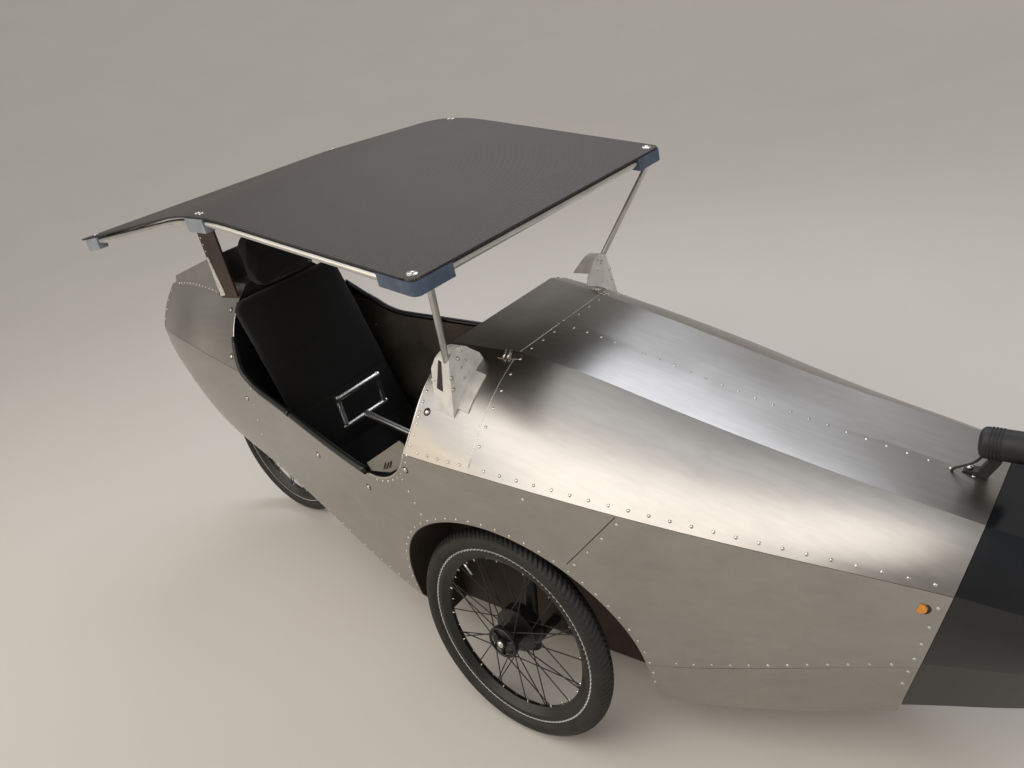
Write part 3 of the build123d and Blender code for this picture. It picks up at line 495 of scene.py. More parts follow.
def make_head_tree():
    """A tree that sets one dome on each point, with its inputs by name and kind."""
    tree = bpy.data.node_groups.new("domed heads", "GeometryNodeTree")
    for label, kind in HEAD_INPUTS:
        tree.interface.new_socket(label, in_out="INPUT", socket_type="NodeSocket" + kind)
    tree.interface.new_socket("Geometry", in_out="OUTPUT", socket_type="NodeSocketGeometry")
    given = node(tree, "NodeGroupInput").outputs
    ball = node(tree, "GeometryNodeMeshUVSphere", {"Segments": 10, "Rings": 6, "Radius": 1.0})
    size = node(tree, "ShaderNodeCombineXYZ", {"X": given["Head radius"], "Y": given["Head radius"],
                                               "Z": given["Head height"]})
    dome = node(tree, "GeometryNodeTransform", {"Geometry": ball.outputs["Mesh"], "Scale": size.outputs[0]})
    smooth = node(tree, "GeometryNodeSetShadeSmooth", {"Geometry": dome.outputs[0]})
    facing = node(tree, "GeometryNodeInputNamedAttribute", {"Name": "facing"}, data_type="FLOAT_VECTOR")
    turned = node(tree, "FunctionNodeAlignRotationToVector", {"Vector": facing.outputs[0]}, axis="Z")
    placed = node(tree, "GeometryNodeInstanceOnPoints", {
        "Points": given["Geometry"], "Instance": smooth.outputs[0], "Rotation": turned.outputs[0]})
    real = node(tree, "GeometryNodeRealizeInstances", {"Geometry": placed.outputs[0]})
    painted = node(tree, "GeometryNodeSetMaterial",
                   {"Geometry": real.outputs[0], "Material": given["Finish"]})
    node(tree, "NodeGroupOutput", {"Geometry": painted.outputs[0]})
    return tree


def keep_mesh(piece):
    """Keep the mesh that a piece's modifiers give, and take the modifiers off."""
    graph = bpy.context.evaluated_depsgraph_get()
    piece.data = bpy.data.meshes.new_from_object(piece.evaluated_get(graph))
    piece.modifiers.clear()


def heads(name, spots, radius, height, finish, body="root"):
    """One mesh of domed heads, one on each spot, riding on a body."""
    mesh = bpy.data.meshes.new(name)
    mesh.from_pydata([place for place, _ in spots], [], [])
    facing = mesh.attributes.new("facing", "FLOAT_VECTOR", "POINT")
    facing.data.foreach_set("vector", [value for _, normal in spots for value in normal])
    piece = add_object(name, mesh)
    modifier = piece.modifiers.new(name, "NODES")
    modifier.node_group = HEAD_TREE
    values = {"Head radius": radius, "Head height": height, "Finish": finish}
    for item in HEAD_TREE.interface.items_tree:
        if item.in_out == "INPUT" and item.name in values:
            modifier[item.identifier] = values[item.name]
    keep_mesh(piece)
    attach(piece, body)
    print(name, len(spots), "heads", len(piece.data.polygons), "faces")


HEAD_TREE = make_head_tree()

# %% [markdown]
# The rivets follow the edges of the sheets. Each row is a line of samples on the skin,
# made by stepping along a seam, round a wheel arch or along an edge, and then rivets are
# chosen from it at an even pitch. The pitches were counted in the photograph: 27 mm
# along the cowl, 36 mm along the hood, 33 mm round the arches and 23 to 62 mm elsewhere.

# %% Rows of rivets
SAMPLE = 8
RIVET_R = 3.3 * MM
RIVET_H = 1.7 * MM
SEAM_EDGE = 10 * MM
RIDGE_EDGE = 10 * MM
ARCH_RING = 308 * MM
NOSE_EDGE_TOP = (832, 633)
NOSE_LEAN = tan(radians(15))
TAIL_END = -1440
COWL_FRONT = 20
COWL_REAR = -133
HOOD_FRONT = 812
HOOD_PITCH, COWL_PITCH, ARCH_PITCH = 36, 27, 33
DIAGONAL_LEAN = (345 - 60) / (670 - 355)
# Rows beside a seam: first and last x, the heights in metres to search, the sheets above
# the seam, and the pitch
SEAM_ROWS = (
    (HOOD_FRONT, COWL_FRONT + 20, 0.45, 0.80, UPPER_SHEETS, HOOD_PITCH),
    (COWL_FRONT - 8, COWL_REAR + 12, 0.45, 0.80, UPPER_SHEETS, COWL_PITCH),
    (HOOD_FRONT, 330, 0.20, 0.56, SIDE_SHEETS, 35),
    (-330, TAIL_END, 0.20, 0.56, SIDE_SHEETS, 35),
)
# Rows up a leaning line: x and z of a place on it, its lean, the heights from and to, and
# the pitch
LEANING_ROWS = (
    (361, 670, DIAGONAL_LEAN, 480, 640, 52),
    (NOSE_EDGE_TOP[0] - 12, NOSE_EDGE_TOP[1], NOSE_LEAN, 290, 560, 46),
    (TAIL_END, 600, 0, 480, 850, 30),
    (-873, 656, 0.45, 470, 690, 62),
    (-182, 628, -0.273, 520, 628, 29),
)


def steps(first, last, step=SAMPLE):
    """Even steps from first to last, both ends included."""
    count = max(1, round(abs(last - first) / step))
    return [first + (last - first) * i / count for i in range(count + 1)]


def spaced(samples, pitch):
    """Spots at an even pitch along a line of samples. A gap in the samples is skipped."""
    chosen, due = [], pitch / 2
    for first, second in zip(samples, samples[1:]):
        if not first or not second:
            due = pitch / 2
            continue
        run = (second[0] - first[0]).length
        while due <= run:
            chosen.append((first[0].lerp(second[0], due / run), first[1]))
            due += pitch
        due -= run
    return chosen


def seam_row(side, x_first, x_last, low, high, sheets_above):
    """Samples a fixed height above a lengthwise seam."""
    return [from_side(x, seam_height(x, side, low, high, sheets_above) + SEAM_EDGE, side)
            for x in steps(x_first, x_last)]


def leaning_row(side, x_top, z_top, lean, z_low, z_high):
    """Samples up a line that leans forward with height."""
    return [from_side(x_top + lean * (z - z_top), z * MM, side) for z in steps(z_low, z_high)]


def rivet_heads(name, spots):
    """Rivets, which have one size on the whole vehicle."""
    heads(name, [spot[:2] for spot in spots], RIVET_R, RIVET_H, RIVET_METAL)


rivets, hood_edges = [], []
for side in (-1, 1):
    for *row, pitch in SEAM_ROWS:
        rivets += spaced(seam_row(side, *row), pitch * MM)
    rivets.append(from_side(138, 645 * MM, side))
    ring = []
    for angle in steps(-15, 195, 2):
        x = ARCH_RING * cos(radians(angle)) / MM
        z = middle("tyre_front_right").z + ARCH_RING * sin(radians(angle))
        ring.append(from_side(x, z, side))
    rivets += spaced(ring, ARCH_PITCH * MM)
    for *row, pitch in LEANING_ROWS:
        rivets += spaced(leaning_row(side, *row), pitch * MM)
    rivets += spaced([from_above(COWL_FRONT + 12, side * y * MM) for y in steps(25, 345)], 39 * MM)
    rivets += spaced([from_side(COWL_REAR + 9, z * MM, side) for z in steps(745, 835)], COWL_PITCH * MM)
    edge_hits = [from_above(COWL_FRONT + 0.6, side * y * MM) for y in steps(3, 352)]
    hood_edges.append([hit[0] for hit in edge_hits if hit])
rivets += spaced([from_above(x, -RIDGE_EDGE) for x in steps(COWL_FRONT + 20, 815)], 33 * MM)
rivet_heads("seam_rivets", rivets)

# %% [markdown]
# Larger domed screws hold what lies inside the skin. They stand on dark washers, and the
# photograph shows where they are.

# %% Domed screws
SCREW_R = 6.0 * MM
SCREW_H = 3.6 * MM
SIDE_SCREWS = ((-922, 625), (-952, 741), (-997, 844), (-334, 549), (-157, 649), (-106, 764), (-560, 560))
screws = [from_side(x, z * MM, side)[:2] for x, z in SIDE_SCREWS for side in (-1, 1)]
heads("domed_screws", screws, SCREW_R, SCREW_H, RIVET_METAL)
heads("screw_washers", screws, SCREW_R * 1.45, 0.9 * MM, MATT_PLASTIC)

# %% [markdown]
# A tube that follows a line of points is swept by hand: a ring of corners stands at each
# point, square to the way the line runs there, and flat ends close it. The first tubes
# are the bright rear edge of the hood and a thin dark line of painted shadow beside each
# middle side sheet.

# %% Swept tubes
def ring_frames(points):
    """At each point two unit directions across the line, carried along without twist."""
    across = None
    frames = []
    for i, point in enumerate(points):
        way = (points[min(i + 1, len(points) - 1)] - points[max(i - 1, 0)]).normalized()
        if across is None:
            across = way.orthogonal()
        across = (across - across.dot(way) * way).normalized()
        frames.append((across, way.cross(across)))
    return frames


def circle(centre, one, two, radius, count):
    """Points round a circle, with the first one again at the end."""
    turns = [2 * pi * i / count for i in range(count + 1)]
    return [centre + one * (radius * cos(turn)) + two * (radius * sin(turn)) for turn in turns]


def tube_mesh(name, lines, radius, sides):
    """One mesh with a round tube along each line of points."""
    corners, faces = [], []
    for points in lines:
        first = len(corners)
        last_ring = len(points) - 1
        for i, (point, (one, two)) in enumerate(zip(points, ring_frames(points))):
            size = radius[i] if isinstance(radius, list) else radius
            for k in range(sides):
                turn = 2 * pi * k / sides
                corners.append(point + one * (size * cos(turn)) + two * (size * sin(turn)))
        for i in range(last_ring):
            for k in range(sides):
                a = first + i * sides + k
                b = first + i * sides + (k + 1) % sides
                faces.append((a, b, b + sides, a + sides))
        faces.append(tuple(first + k for k in reversed(range(sides))))
        faces.append(tuple(first + last_ring * sides + k for k in range(sides)))
    mesh = bpy.data.meshes.new(name)
    mesh.from_pydata(corners, [], faces)
    mesh.polygons.foreach_set("use_smooth", [len(face) == 4 for face in faces])
    return mesh


def piece_from(mesh, finish, body="root", replaces=()):
    """An object for a mesh, with its finish, riding on a body."""
    mesh.update()
    piece = add_object(mesh.name, mesh)
    mesh.materials.append(finish)
    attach(piece, body)
    if replaces:
        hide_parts(*replaces)


def tubes(name, lines, radius, finish, body="root", sides=8, replaces=()):
    """Tubes along lines of points, as one piece that rides on a body."""
    piece_from(tube_mesh(name, lines, radius, sides), finish, body, replaces)


tubes("hood_rear_edge", hood_edges, 1.0 * MM, RIVET_METAL)


def front_sheet(x_mm, z, side):
    """What a level ray meets, if that is the front side sheet."""
    hit = from_side(x_mm, z, side)
    return hit if hit and hit[2].startswith("side_front") else None


# A thin dark tube along each side seam is a painted shadow line where the sheets overlap.
side_seams = []
for side in (-1, 1):
    hits = [front_sheet(halved(60, 420, lambda x: front_sheet(x, z, side)) + 1, z, side)
            for z in steps(506 * MM, 662 * MM, 4 * MM)]
    side_seams.append([hit[0] + hit[1] * 0.1 * MM for hit in hits if hit])
tubes("side_seam_shadow_lines", side_seams, 0.9 * MM, MATT_PLASTIC)
print("side seam from", side_seams[0][0], "to", side_seams[0][-1])

# %% [markdown]
# The cockpit's edge is found from a point in the middle of the opening: at each angle, a
# ray from the side starts to meet the skin where the edge is. A black foam tube is
# pushed over the edge in two lengths a side, slit along its inside, and where it ends the
# bright rolled edge of the sheet shows.

# %% Cockpit edge
EDGE_CENTRE = (-560, 0.880)
EDGE_REACH = (0.05, 0.62)
TUBE_SWELL = 8.3 * MM
BARE_EDGE = 2.2 * MM


def edge_place(angle, side):
    """Where the opening's edge lies, seen at an angle from its centre."""
    x_turn, z_turn = cos(radians(angle)) / MM, sin(radians(angle))

    def is_skin(reach):
        return from_side(EDGE_CENTRE[0] + reach * x_turn, EDGE_CENTRE[1] + reach * z_turn, side) is not None

    reach = halved(*EDGE_REACH, is_skin) + 1.0 * MM
    hit = from_side(EDGE_CENTRE[0] + reach * x_turn, EDGE_CENTRE[1] + reach * z_turn, side)
    inward = Vector((-cos(radians(angle)), 0, -z_turn))
    return hit[0] - hit[1] * 1.0 * MM, inward


def edge_line(first, last, side, lift, step=2.0):
    """Points along the edge between two angles, lifted into the opening."""
    line = []
    for angle in steps(first, last, step):
        place, inward = edge_place(angle, side)
        line.append(place + inward * lift)
    return line


foam_lines, bare_lines, edge_rivets = [], [], []
for side in (-1, 1):
    foam_lines += [edge_line(-49.5, -111.2, side, 4 * MM), edge_line(-112.4, -166.5, side, 4 * MM)]
    bare_lines += [edge_line(-5, -50, side, 1 * MM), edge_line(-166, -176.5, side, 1 * MM, 1.0)]
    beside = edge_line(-12, -47, side, -9 * MM, 1.0)
    edge_rivets += spaced([from_side((p.x - AXLE_X) / MM, p.z, side) for p in beside], 23 * MM)
rivet_heads("edge_rivets", edge_rivets)
tubes("edge_foam", foam_lines, TUBE_SWELL, EDGE_RUBBER, sides=18,
      replaces=("cockpit_trim",))
tubes("rolled_edge", bare_lines, BARE_EDGE, RIVET_METAL, sides=10)
print("foam", [len(line) for line in foam_lines])

# %% [markdown]
# A tyre is turned round its own axle. Its section runs from bead to bead over the crown;
# the tread is pressed in where the sipes run: slanted cuts that meet the middle like
# arrows, and a fine groove on each shoulder. A silver reflecting band goes round each side.

# %% Tyres
TYRE_R = 250 * MM
TYRE_HALF = 24.5 * MM
BEAD_R = 205.2 * MM
FLANGE_R = 211 * MM
RIM_HALF = 15.4 * MM
TREAD_HALF = 17.5 * MM
SIPE_PITCH = 13.1 * MM
SIPE_WIDE = 0.26
SIPE_DEEP = 2.4 * MM
BAND = (208.2 * MM, 212.2 * MM)
TYRE_STEPS = 720


def arc_points(start, through, end, count):
    """Points on the circle through three places of a section, the last one left out."""
    (ax, ay), (bx, by), (cx, cy) = start, through, end
    d = 2 * (ax * (by - cy) + bx * (cy - ay) + cx * (ay - by))
    a2, b2, c2 = ax * ax + ay * ay, bx * bx + by * by, cx * cx + cy * cy
    ux = (a2 * (by - cy) + b2 * (cy - ay) + c2 * (ay - by)) / d
    uy = (a2 * (cx - bx) + b2 * (ax - cx) + c2 * (bx - ax)) / d
    first, mid, last = [atan2(y - uy, x - ux) for x, y in (start, through, end)]
    sweep = (last - first) % (2 * pi)
    if (mid - first) % (2 * pi) > sweep:
        sweep -= 2 * pi
    size = hypot(ax - ux, ay - uy)
    return [(ux + size * cos(first + sweep * i / count), uy + size * sin(first + sweep * i / count))
            for i in range(count)]


def tyre_section():
    """The tyre's outer line as (radius, place across), from the inner to the outer side."""
    shoulder = (TYRE_R - 7 * MM, 16.2 * MM)
    side = [(BEAD_R, RIM_HALF), (BAND[0], RIM_HALF), (FLANGE_R, RIM_HALF)]
    wall = arc_points((FLANGE_R, RIM_HALF), (TYRE_R - TYRE_HALF, TYRE_HALF), shoulder, 9)[1:]
    crown = arc_points(shoulder, (TYRE_R, 0), (shoulder[0], -shoulder[1]), 20)
    half = side + wall
    return half + crown + [(r, -w) for r, w in [shoulder] + half[::-1]]


def is_sipe(turn, across):
    """Whether a sipe runs at this place of the tread."""
    if abs(across) > TREAD_HALF or abs(across) < 1.5 * MM:
        return False
    along = turn * TYRE_R + abs(across) * 0.75 + (SIPE_PITCH / 2 if across > 0 else 0)
    return (along / SIPE_PITCH) % 1 < SIPE_WIDE or abs(abs(across) - 9.5 * MM) < 0.6 * MM


def wheel_place(name, radius, degrees_round, across):
    """A place in a wheel's own frame: across is along the axle, out from the vehicle."""
    centre, axle = WHEELS[name]
    one = Vector((1, 0, 0))
    two = axle.cross(one).normalized()
    turn = radians(degrees_round)
    return centre + (one * cos(turn) + two * sin(turn)) * radius + axle * across


def make_tyre(name, finish, band_finish):
    section = tyre_section()
    corners = []
    for i in range(TYRE_STEPS):
        angle = 360 * i / TYRE_STEPS
        for r, across in section:
            depth = SIPE_DEEP if is_sipe(radians(angle), across) else 0
            corners.append(wheel_place(name, r - depth, angle, across))
    count = len(section)
    faces, bands = [], []
    for i in range(TYRE_STEPS):
        for k in range(count - 1):
            a, b = i * count + k, (i + 1) % TYRE_STEPS * count + k
            faces.append((a, b, b + 1, a + 1))
            low, high = sorted((section[k][0], section[k + 1][0]))
            bands.append(int(low >= BAND[0] - 1e-5 and high <= BAND[1] + 1.2 * MM))
    mesh = bpy.data.meshes.new("road_tyre_" + name)
    mesh.from_pydata(corners, [], faces)
    piece_from(mesh, finish, WHEEL_BODY[name], ("tyre_" + name,))
    mesh.materials.append(band_finish)
    mesh.polygons.foreach_set("material_index", bands)
    mesh.polygons.foreach_set("use_smooth", [True] * len(faces))


TYRE_RUBBER = make_coat("black tyre rubber", "#141414", "#222120", 0.50, 0.72, grain=0.0018,
                        depth=0.00008, blotch=0.04)
REFLECTING = make_coat("silver reflecting band", "#a9abad", "#c9cbcc", 0.30, 0.42, grain=0.001)
for wheel in WHEELS:
    make_tyre(wheel, TYRE_RUBBER, REFLECTING)
print("tyres", len(WHEELS), "section points", len(tyre_section()))

# %% [markdown]
# A wheel has more than its rim and spokes: a cap with three arms over the hub, an axle
# nut, a valve, and a bright nipple where each spoke meets the rim.

# %% Wheel details
CAP_R = 34 * MM
CAP_ACROSS = 37 * MM
RIM_INNER = 180.6 * MM
DRUM_R = 50.5 * MM
SPOKES = 32
VALVE_ANGLE = 130


def circle_line(name, radius, across, count=40):
    return [wheel_place(name, radius, 360 * i / count, across) for i in range(count + 1)]


for wheel in WHEELS:
    body = WHEEL_BODY[wheel]
    cap_lines = [circle_line(wheel, CAP_R, CAP_ACROSS)]
    cap_lines += [[wheel_place(wheel, r * MM, angle, CAP_ACROSS) for r in (8, 20, 34)]
                  for angle in (20, 140, 260)]
    tubes("hub_cap_" + wheel, cap_lines, 3.0 * MM, RIM_PAINT, body, sides=10)
    drum_ribs = [circle_line(wheel, DRUM_R, across * MM) for across in (-24, -14)]
    tubes("drum_ribs_" + wheel, drum_ribs, 1.6 * MM, RIM_PAINT, body)
    valve = [wheel_place(wheel, r * MM, VALVE_ANGLE, 0) for r in (182, 170, 158, 150)]
    valve_sizes = [r * MM for r in (3.0, 3.0, 2.6, 2.0)]
    tubes("valve_" + wheel, [valve], valve_sizes, TUBE_METAL, body, sides=10)
    nipples = []
    for turn in range(SPOKES):
        angle = 360 * turn / SPOKES + 4
        inward = wheel_place(wheel, 0, angle, 0) - wheel_place(wheel, 1, angle, 0)
        nipples.append((wheel_place(wheel, RIM_INNER, angle, 2.5 * MM * (-1) ** turn), inward))
    heads("nipples_" + wheel, nipples, 2.1 * MM, 5.5 * MM, RIVET_METAL, body)
    nut = [(wheel_place(wheel, 0, 0, 44.2 * MM), WHEELS[wheel][1])]
    if wheel != "rear":
        heads("axle_nut_" + wheel, nut, 8.5 * MM, 4.5 * MM, RIVET_METAL,
              "knuckle_" + wheel.split("_")[1])


# %% [markdown]
# Thin plates are drawn as an outline on a plane and given a thickness. The plane has an
# origin and two directions, so one function serves the white straps behind the cockpit,
# the plates of painted shade in the slots of the brackets, the gusset plates and the hinges.

# %% Plates from outlines
def plate_mesh(name, outlines, thick, bevel=0.4 * MM):
    """Flat plates from (origin, right, up, points), thickened backwards, with soft edges."""
    build = bmesh.new()
    for origin, right, up, points in outlines:
        normal = right.cross(up)
        front = [build.verts.new(origin + right * u + up * v) for u, v in points]
        back = [build.verts.new(v.co - normal * thick) for v in front]
        build.faces.new(front)
        build.faces.new(list(reversed(back)))
        for k in range(len(front)):
            following = (k + 1) % len(front)
            build.faces.new((front[following], front[k], back[k], back[following]))
    bmesh.ops.recalc_face_normals(build, faces=build.faces)
    edges = [edge for edge in build.edges if edge.calc_face_angle(0) > radians(40)]
    bmesh.ops.bevel(build, geom=edges, offset=bevel, segments=2, affect="EDGES")
    mesh = bpy.data.meshes.new(name)
    build.to_mesh(mesh)
    build.free()
    return mesh


def rounded(points, radius, count=5):
    """An outline with each corner replaced by a small arc."""
    outline = []
    for i, (x, y) in enumerate(points):
        (ax, ay), (bx, by) = points[i - 1], points[(i + 1) % len(points)]
        back = Vector((ax - x, ay - y)).normalized()
        on = Vector((bx - x, by - y)).normalized()
        start, end = Vector((x, y)) + back * radius, Vector((x, y)) + on * radius
        for k in range(count + 1):
            t = k / count
            corner = 2 * t * (1 - t) * Vector((x, y))
            outline.append(tuple((1 - t) ** 2 * start + corner + t * t * end))
    return outline


X_WAY, Y_WAY, Z_WAY = Vector((1, 0, 0)), Vector((0, 1, 0)), Vector((0, 0, 1))
print("plates ready")

# %% [markdown]
# Behind the cockpit two brown boards carry the roof. A white strap is riveted to each,
# wider at its foot, and a row of rivets runs up the board's rear edge. Rivets also hold
# the fairing's foot to the deck.

# %% Straps and rivets behind the cockpit
STRAP = ((-1062, 985), (-1052, 987), (-1037, 876), (-1064, 871))
PYLON_FACE = max(abs(corner[1]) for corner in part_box("roof_pylons"))
STRAP_THICK = 2.0 * MM
FAIRING = ray_target(("tail_fairing",))
board_rivets, foot_rivets, straps = [], [], []
for side in (-1, 1):
    out = Y_WAY * side
    face_y = side * (PYLON_FACE + STRAP_THICK)
    outline = rounded([(-side * x * MM, z * MM) for x, z in STRAP], 3 * MM)
    straps.append((Vector((AXLE_X, face_y, 0)), X_WAY * -side, Z_WAY, outline))
    board_rivets += [(Vector((ahead(-1056), side * PYLON_FACE, z * MM)), out)
                     for z in steps(1003, 1118, 19)]
    board_rivets += [(Vector((ahead(-1056 + (985 - z) * 0.05), face_y, z * MM)), out)
                     for z in steps(885, 973, 17)]
    foot = []
    for x in steps(-1086, -1388):
        deck = halved(0.84, 0.95, lambda z: from_side(x, z, side, FAIRING))
        foot.append(from_side(x, deck + 9 * MM, side, FAIRING))
    foot_rivets += spaced(foot, 23 * MM)
piece_from(plate_mesh("pylon_straps", straps, STRAP_THICK - 0.2 * MM), WHITE_REFLECTION_PLATE)
rivet_heads("pylon_rivets", board_rivets)
rivet_heads("fairing_rivets", foot_rivets)

# %% [markdown]
# The roof sheet is held by screws: one on a wide washer at each front corner, a pair
# over each middle clamp and one over each rear clamp. A thin black tape binds the edge.

# %% Roof screws and edge
ROOF = ray_target(("roof_panel",))
ROOF_SCREWS = ((43, 379), (-531, 385), (-545, 385), (-1062, 385))
WASHER_R = 11.5 * MM
roof_spots = [from_above(x, side * y * MM, ROOF)[:2] for x, y in ROOF_SCREWS for side in (-1, 1)]
front_spots = [spot for spot in roof_spots if spot[0].x > AXLE_X]
raised_spots = [(place + normal * 0.8 * MM, normal) for place, normal in roof_spots]
heads("roof_washers", front_spots, WASHER_R, 1.5 * MM, RIVET_METAL)
heads("roof_screws", raised_spots, 6.2 * MM, 2.8 * MM, RIVET_METAL)

ROOF_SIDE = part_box("roof_panel")[1][1]
TAPE_DROP = Z_WAY * 2.0 * MM
edge_lines = []
for side in (-1, 1):
    hits = [from_above(x, side * (ROOF_SIDE - 1 * MM), ROOF) for x in steps(44, -1110, 16)]
    edge_lines.append([hit[0] - TAPE_DROP + Y_WAY * side * 1.0 * MM for hit in hits])
for x in (61.5, -1128.5):
    hits = [from_above(x, y * MM, ROOF) for y in steps(-380, 380, 40)]
    edge_lines.append([hit[0] - TAPE_DROP for hit in hits])
tubes("roof_edge_tape", edge_lines, 2.1 * MM, MATT_PLASTIC)

# %% [markdown]
# The brackets at the foot of the posts are held by rivets and screws. The slot in the
# side of each is too thin a feature to cut, so a dark plate of painted shade lies there, for
# the shade inside the slot. Its corners are carried from the side view onto the bracket's
# face, which leans.

# %% Rivets and screws of the brackets
bracket_rivets, bracket_screws = [], []
bracket_target = ray_target(("post_brackets",))
BRACKET_RIVETS = ((242, 873), (253, 843), (250, 819), (237, 851))
BRACKET_SCREWS = ((255, 863), (283, 835), (285, 811))
BRACKET_SLOT = ((-68, 869), (-60, 866), (-63, 807), (-79, 812))
slot_shade_plates = []
for side in (-1, 1):
    for y, z in BRACKET_RIVETS + BRACKET_SCREWS:
        hit = cast(bracket_target, Vector((ahead(200), side * y * MM, z * MM)), Vector((-1, 0, 0)))
        if hit:
            (bracket_screws if (y, z) in BRACKET_SCREWS else bracket_rivets).append(hit[:2])
    bracket_rivets.append(from_side(-84, 827 * MM, side, bracket_target)[:2])
    # The dark plate over the slot is painted shade, for the shade inside the open slot.
    corners = [from_side(x, z * MM, side, bracket_target) for x, z in BRACKET_SLOT]
    origin, out, _ = corners[0]
    origin = origin + out * 0.5 * MM
    right = X_WAY * -side
    up = out.cross(right)
    reaches = [corner[0] - origin for corner in corners]
    slot_shade_plates.append((origin, right, up, [(reach.dot(right), reach.dot(up)) for reach in reaches]))
piece_from(plate_mesh("bracket_slot_shade", slot_shade_plates, 0.4 * MM, bevel=0.1 * MM), MATT_PLASTIC)
rivet_heads("bracket_rivets", bracket_rivets)
heads("bracket_screws", bracket_screws, 5.0 * MM, 3.4 * MM, RIVET_METAL)

# %% [markdown]
# In each front corner of the opening a thin gusset plate stands just inside the skin, with
# three short slots; dark bars lie in them as painted shade. On each side of the ridge a hinge
# of bent sheet joins the cowl to the hood: two leaves with a raised edge and a hole, one of
# them with a rounded end, and a dark disc of painted shade in each hole.

# %% Gusset plates and hinges
GUSSET = ((-311, 619), (-163, 711), (-150, 704), (-163, 655), (-232, 615), (-303, 600))
GUSSET_Y = (345 * MM, 353 * MM)
GUSSET_SLOTS = (((-250, 620), (-237, 638)), ((-240, 623), (-225, 642)), ((-226, 630), (-214, 648)))
HINGE_HALF = 11 * MM
gussets, slots, hinges, bars, holes = [], [], [], [], []
for side in (-1, 1):
    rise = (GUSSET_Y[1] - GUSSET_Y[0]) / (148 * MM)
    right = Vector((1, side * rise, 0)).normalized() * -side
    origin = Vector((ahead(GUSSET[0][0]), side * GUSSET_Y[0], 0))
    outline = [(-side * (x - GUSSET[0][0]) * MM, z * MM) for x, z in GUSSET]
    gussets.append((origin, right, Z_WAY, rounded(outline, 2 * MM)))
    for ends in GUSSET_SLOTS:
        slots.append([origin + right * (-side * (x - GUSSET[0][0]) * MM) + Z_WAY * z * MM
                      + Y_WAY * side * 0.8 * MM for x, z in ends])
    spot, normal, _ = from_above(3, side * 163 * MM)
    along = Vector((0.32, side * 1.0, 0))
    along = (along - along.dot(normal) * normal).normalized()
    back = normal.cross(along) * side
    for sign in (-1, 1):
        foot = spot + back * sign * 4.5 * MM + normal * 1.4 * MM
        reach = 26 * MM if sign < 0 else 15 * MM
        leaf = [(-HINGE_HALF, 0), (HINGE_HALF, 0), (9 * MM, reach), (-9 * MM, reach)]
        up = back * sign
        hinges.append((foot, along if along.cross(up).dot(normal) > 0 else -along, up,
                       rounded(leaf, 1.5 * MM if sign > 0 else 7 * MM)))
        bars.append([foot + along * end * HINGE_HALF + normal * 3 * MM for end in (-1, 1)])
        holes.append((foot + up * (reach - 9 * MM) + normal * 0.2 * MM, normal))
piece_from(plate_mesh("corner_gussets", gussets, 1.4 * MM), INNER_SHEET)
# The dark bars in the gusset slots are painted shade.
tubes("gusset_slot_shade", slots, 1.6 * MM, MATT_PLASTIC)
piece_from(plate_mesh("hood_hinges", hinges, 1.2 * MM), RIVET_METAL)
tubes("hinge_edges", bars, 2.2 * MM, RIVET_METAL, sides=10)
# The dark discs in the hinge holes are painted shade.
heads("hinge_hole_shade", holes, 2.6 * MM, 0.8 * MM, MATT_PLASTIC)

# %% [markdown]
# The headlight is a round housing with a clear lens in front, cooling ribs behind it and
# a screw through its arm. The side indicators are amber lenses in black rims.

# %% Lamps
lamp_low, lamp_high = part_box("headlight")
LAMP_MID = middle("headlight")
LAMP_R = (lamp_high[2] - lamp_low[2]) / 2
LENS_GLASS = make_coat("clear lamp lens", "#8e969c", "#b4bcc2", 0.03, 0.08, grain=0.006, depth=0.0002,
                       sockets={"Transmission Weight": 0.6, "IOR": 1.49})


def lamp_spot(x):
    """A place on the lamp's axis."""
    return Vector((x, LAMP_MID.y, LAMP_MID.z))


ribs = [circle(lamp_spot(lamp_low[0] + offset * MM), Y_WAY, Z_WAY, LAMP_R - 0.3 * MM, 36)
        for offset in (16, 21, 26, 31)]
bezel = circle(lamp_spot(lamp_high[0] - 1.5 * MM), Y_WAY, Z_WAY, LAMP_R - 1.8 * MM, 36)
lens = [(lamp_spot(lamp_high[0] - 1.0 * MM), X_WAY)]
arm_bolts = [(Vector((ahead(784), 0, 649.5 * MM)), Z_WAY),
             (Vector((ahead(820), -9.2 * MM, 688 * MM)), -Y_WAY)]
tubes("lamp_ribs", ribs, 1.5 * MM, MATT_PLASTIC)
tubes("lamp_bezel", [bezel], 2.2 * MM, MATT_PLASTIC, sides=10)
heads("lamp_lens", lens, LAMP_R - 3 * MM, 5 * MM, LENS_GLASS)
heads("lamp_bolts", arm_bolts, 5.5 * MM, 3.5 * MM, RIVET_METAL)

INDICATOR = middle("indicators")
INDICATOR_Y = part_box("indicators")[1][1] - 5.0 * MM
rims = [circle(Vector((INDICATOR.x, side * INDICATOR_Y, INDICATOR.z)), X_WAY, Z_WAY, 10.5 * MM, 28)
        for side in (-1, 1)]
tubes("indicator_rims", rims, 2.6 * MM, MATT_PLASTIC, sides=10)

# %% [markdown]
# The seat and the headrest are foam under black cloth. Each starts as its solid, slightly
# shrunk and remeshed, and is then blown up a little like a real cushion by the cloth
# solver, with a cap on how far a point may move. Sewn channels across the seat are
# pressed in afterwards.

# %% Seat and headrest
def remeshed(name, node_name, voxel, shrink):
    """A copy of a node's solid with even small faces, drawn in by a little."""
    mesh = NODES[node_name].data.copy()
    mesh.name = name
    mesh.materials.clear()
    pad = add_object(name, mesh)
    modifier = pad.modifiers.new("even faces", "REMESH")
    modifier.mode = "VOXEL"
    modifier.voxel_size = voxel
    smooth = pad.modifiers.new("soft corners", "SMOOTH")
    smooth.factor = 0.5
    smooth.iterations = 10
    draw_in = pad.modifiers.new("draw in", "DISPLACE")
    draw_in.strength = -shrink
    draw_in.mid_level = 0.0
    keep_mesh(pad)
    return pad


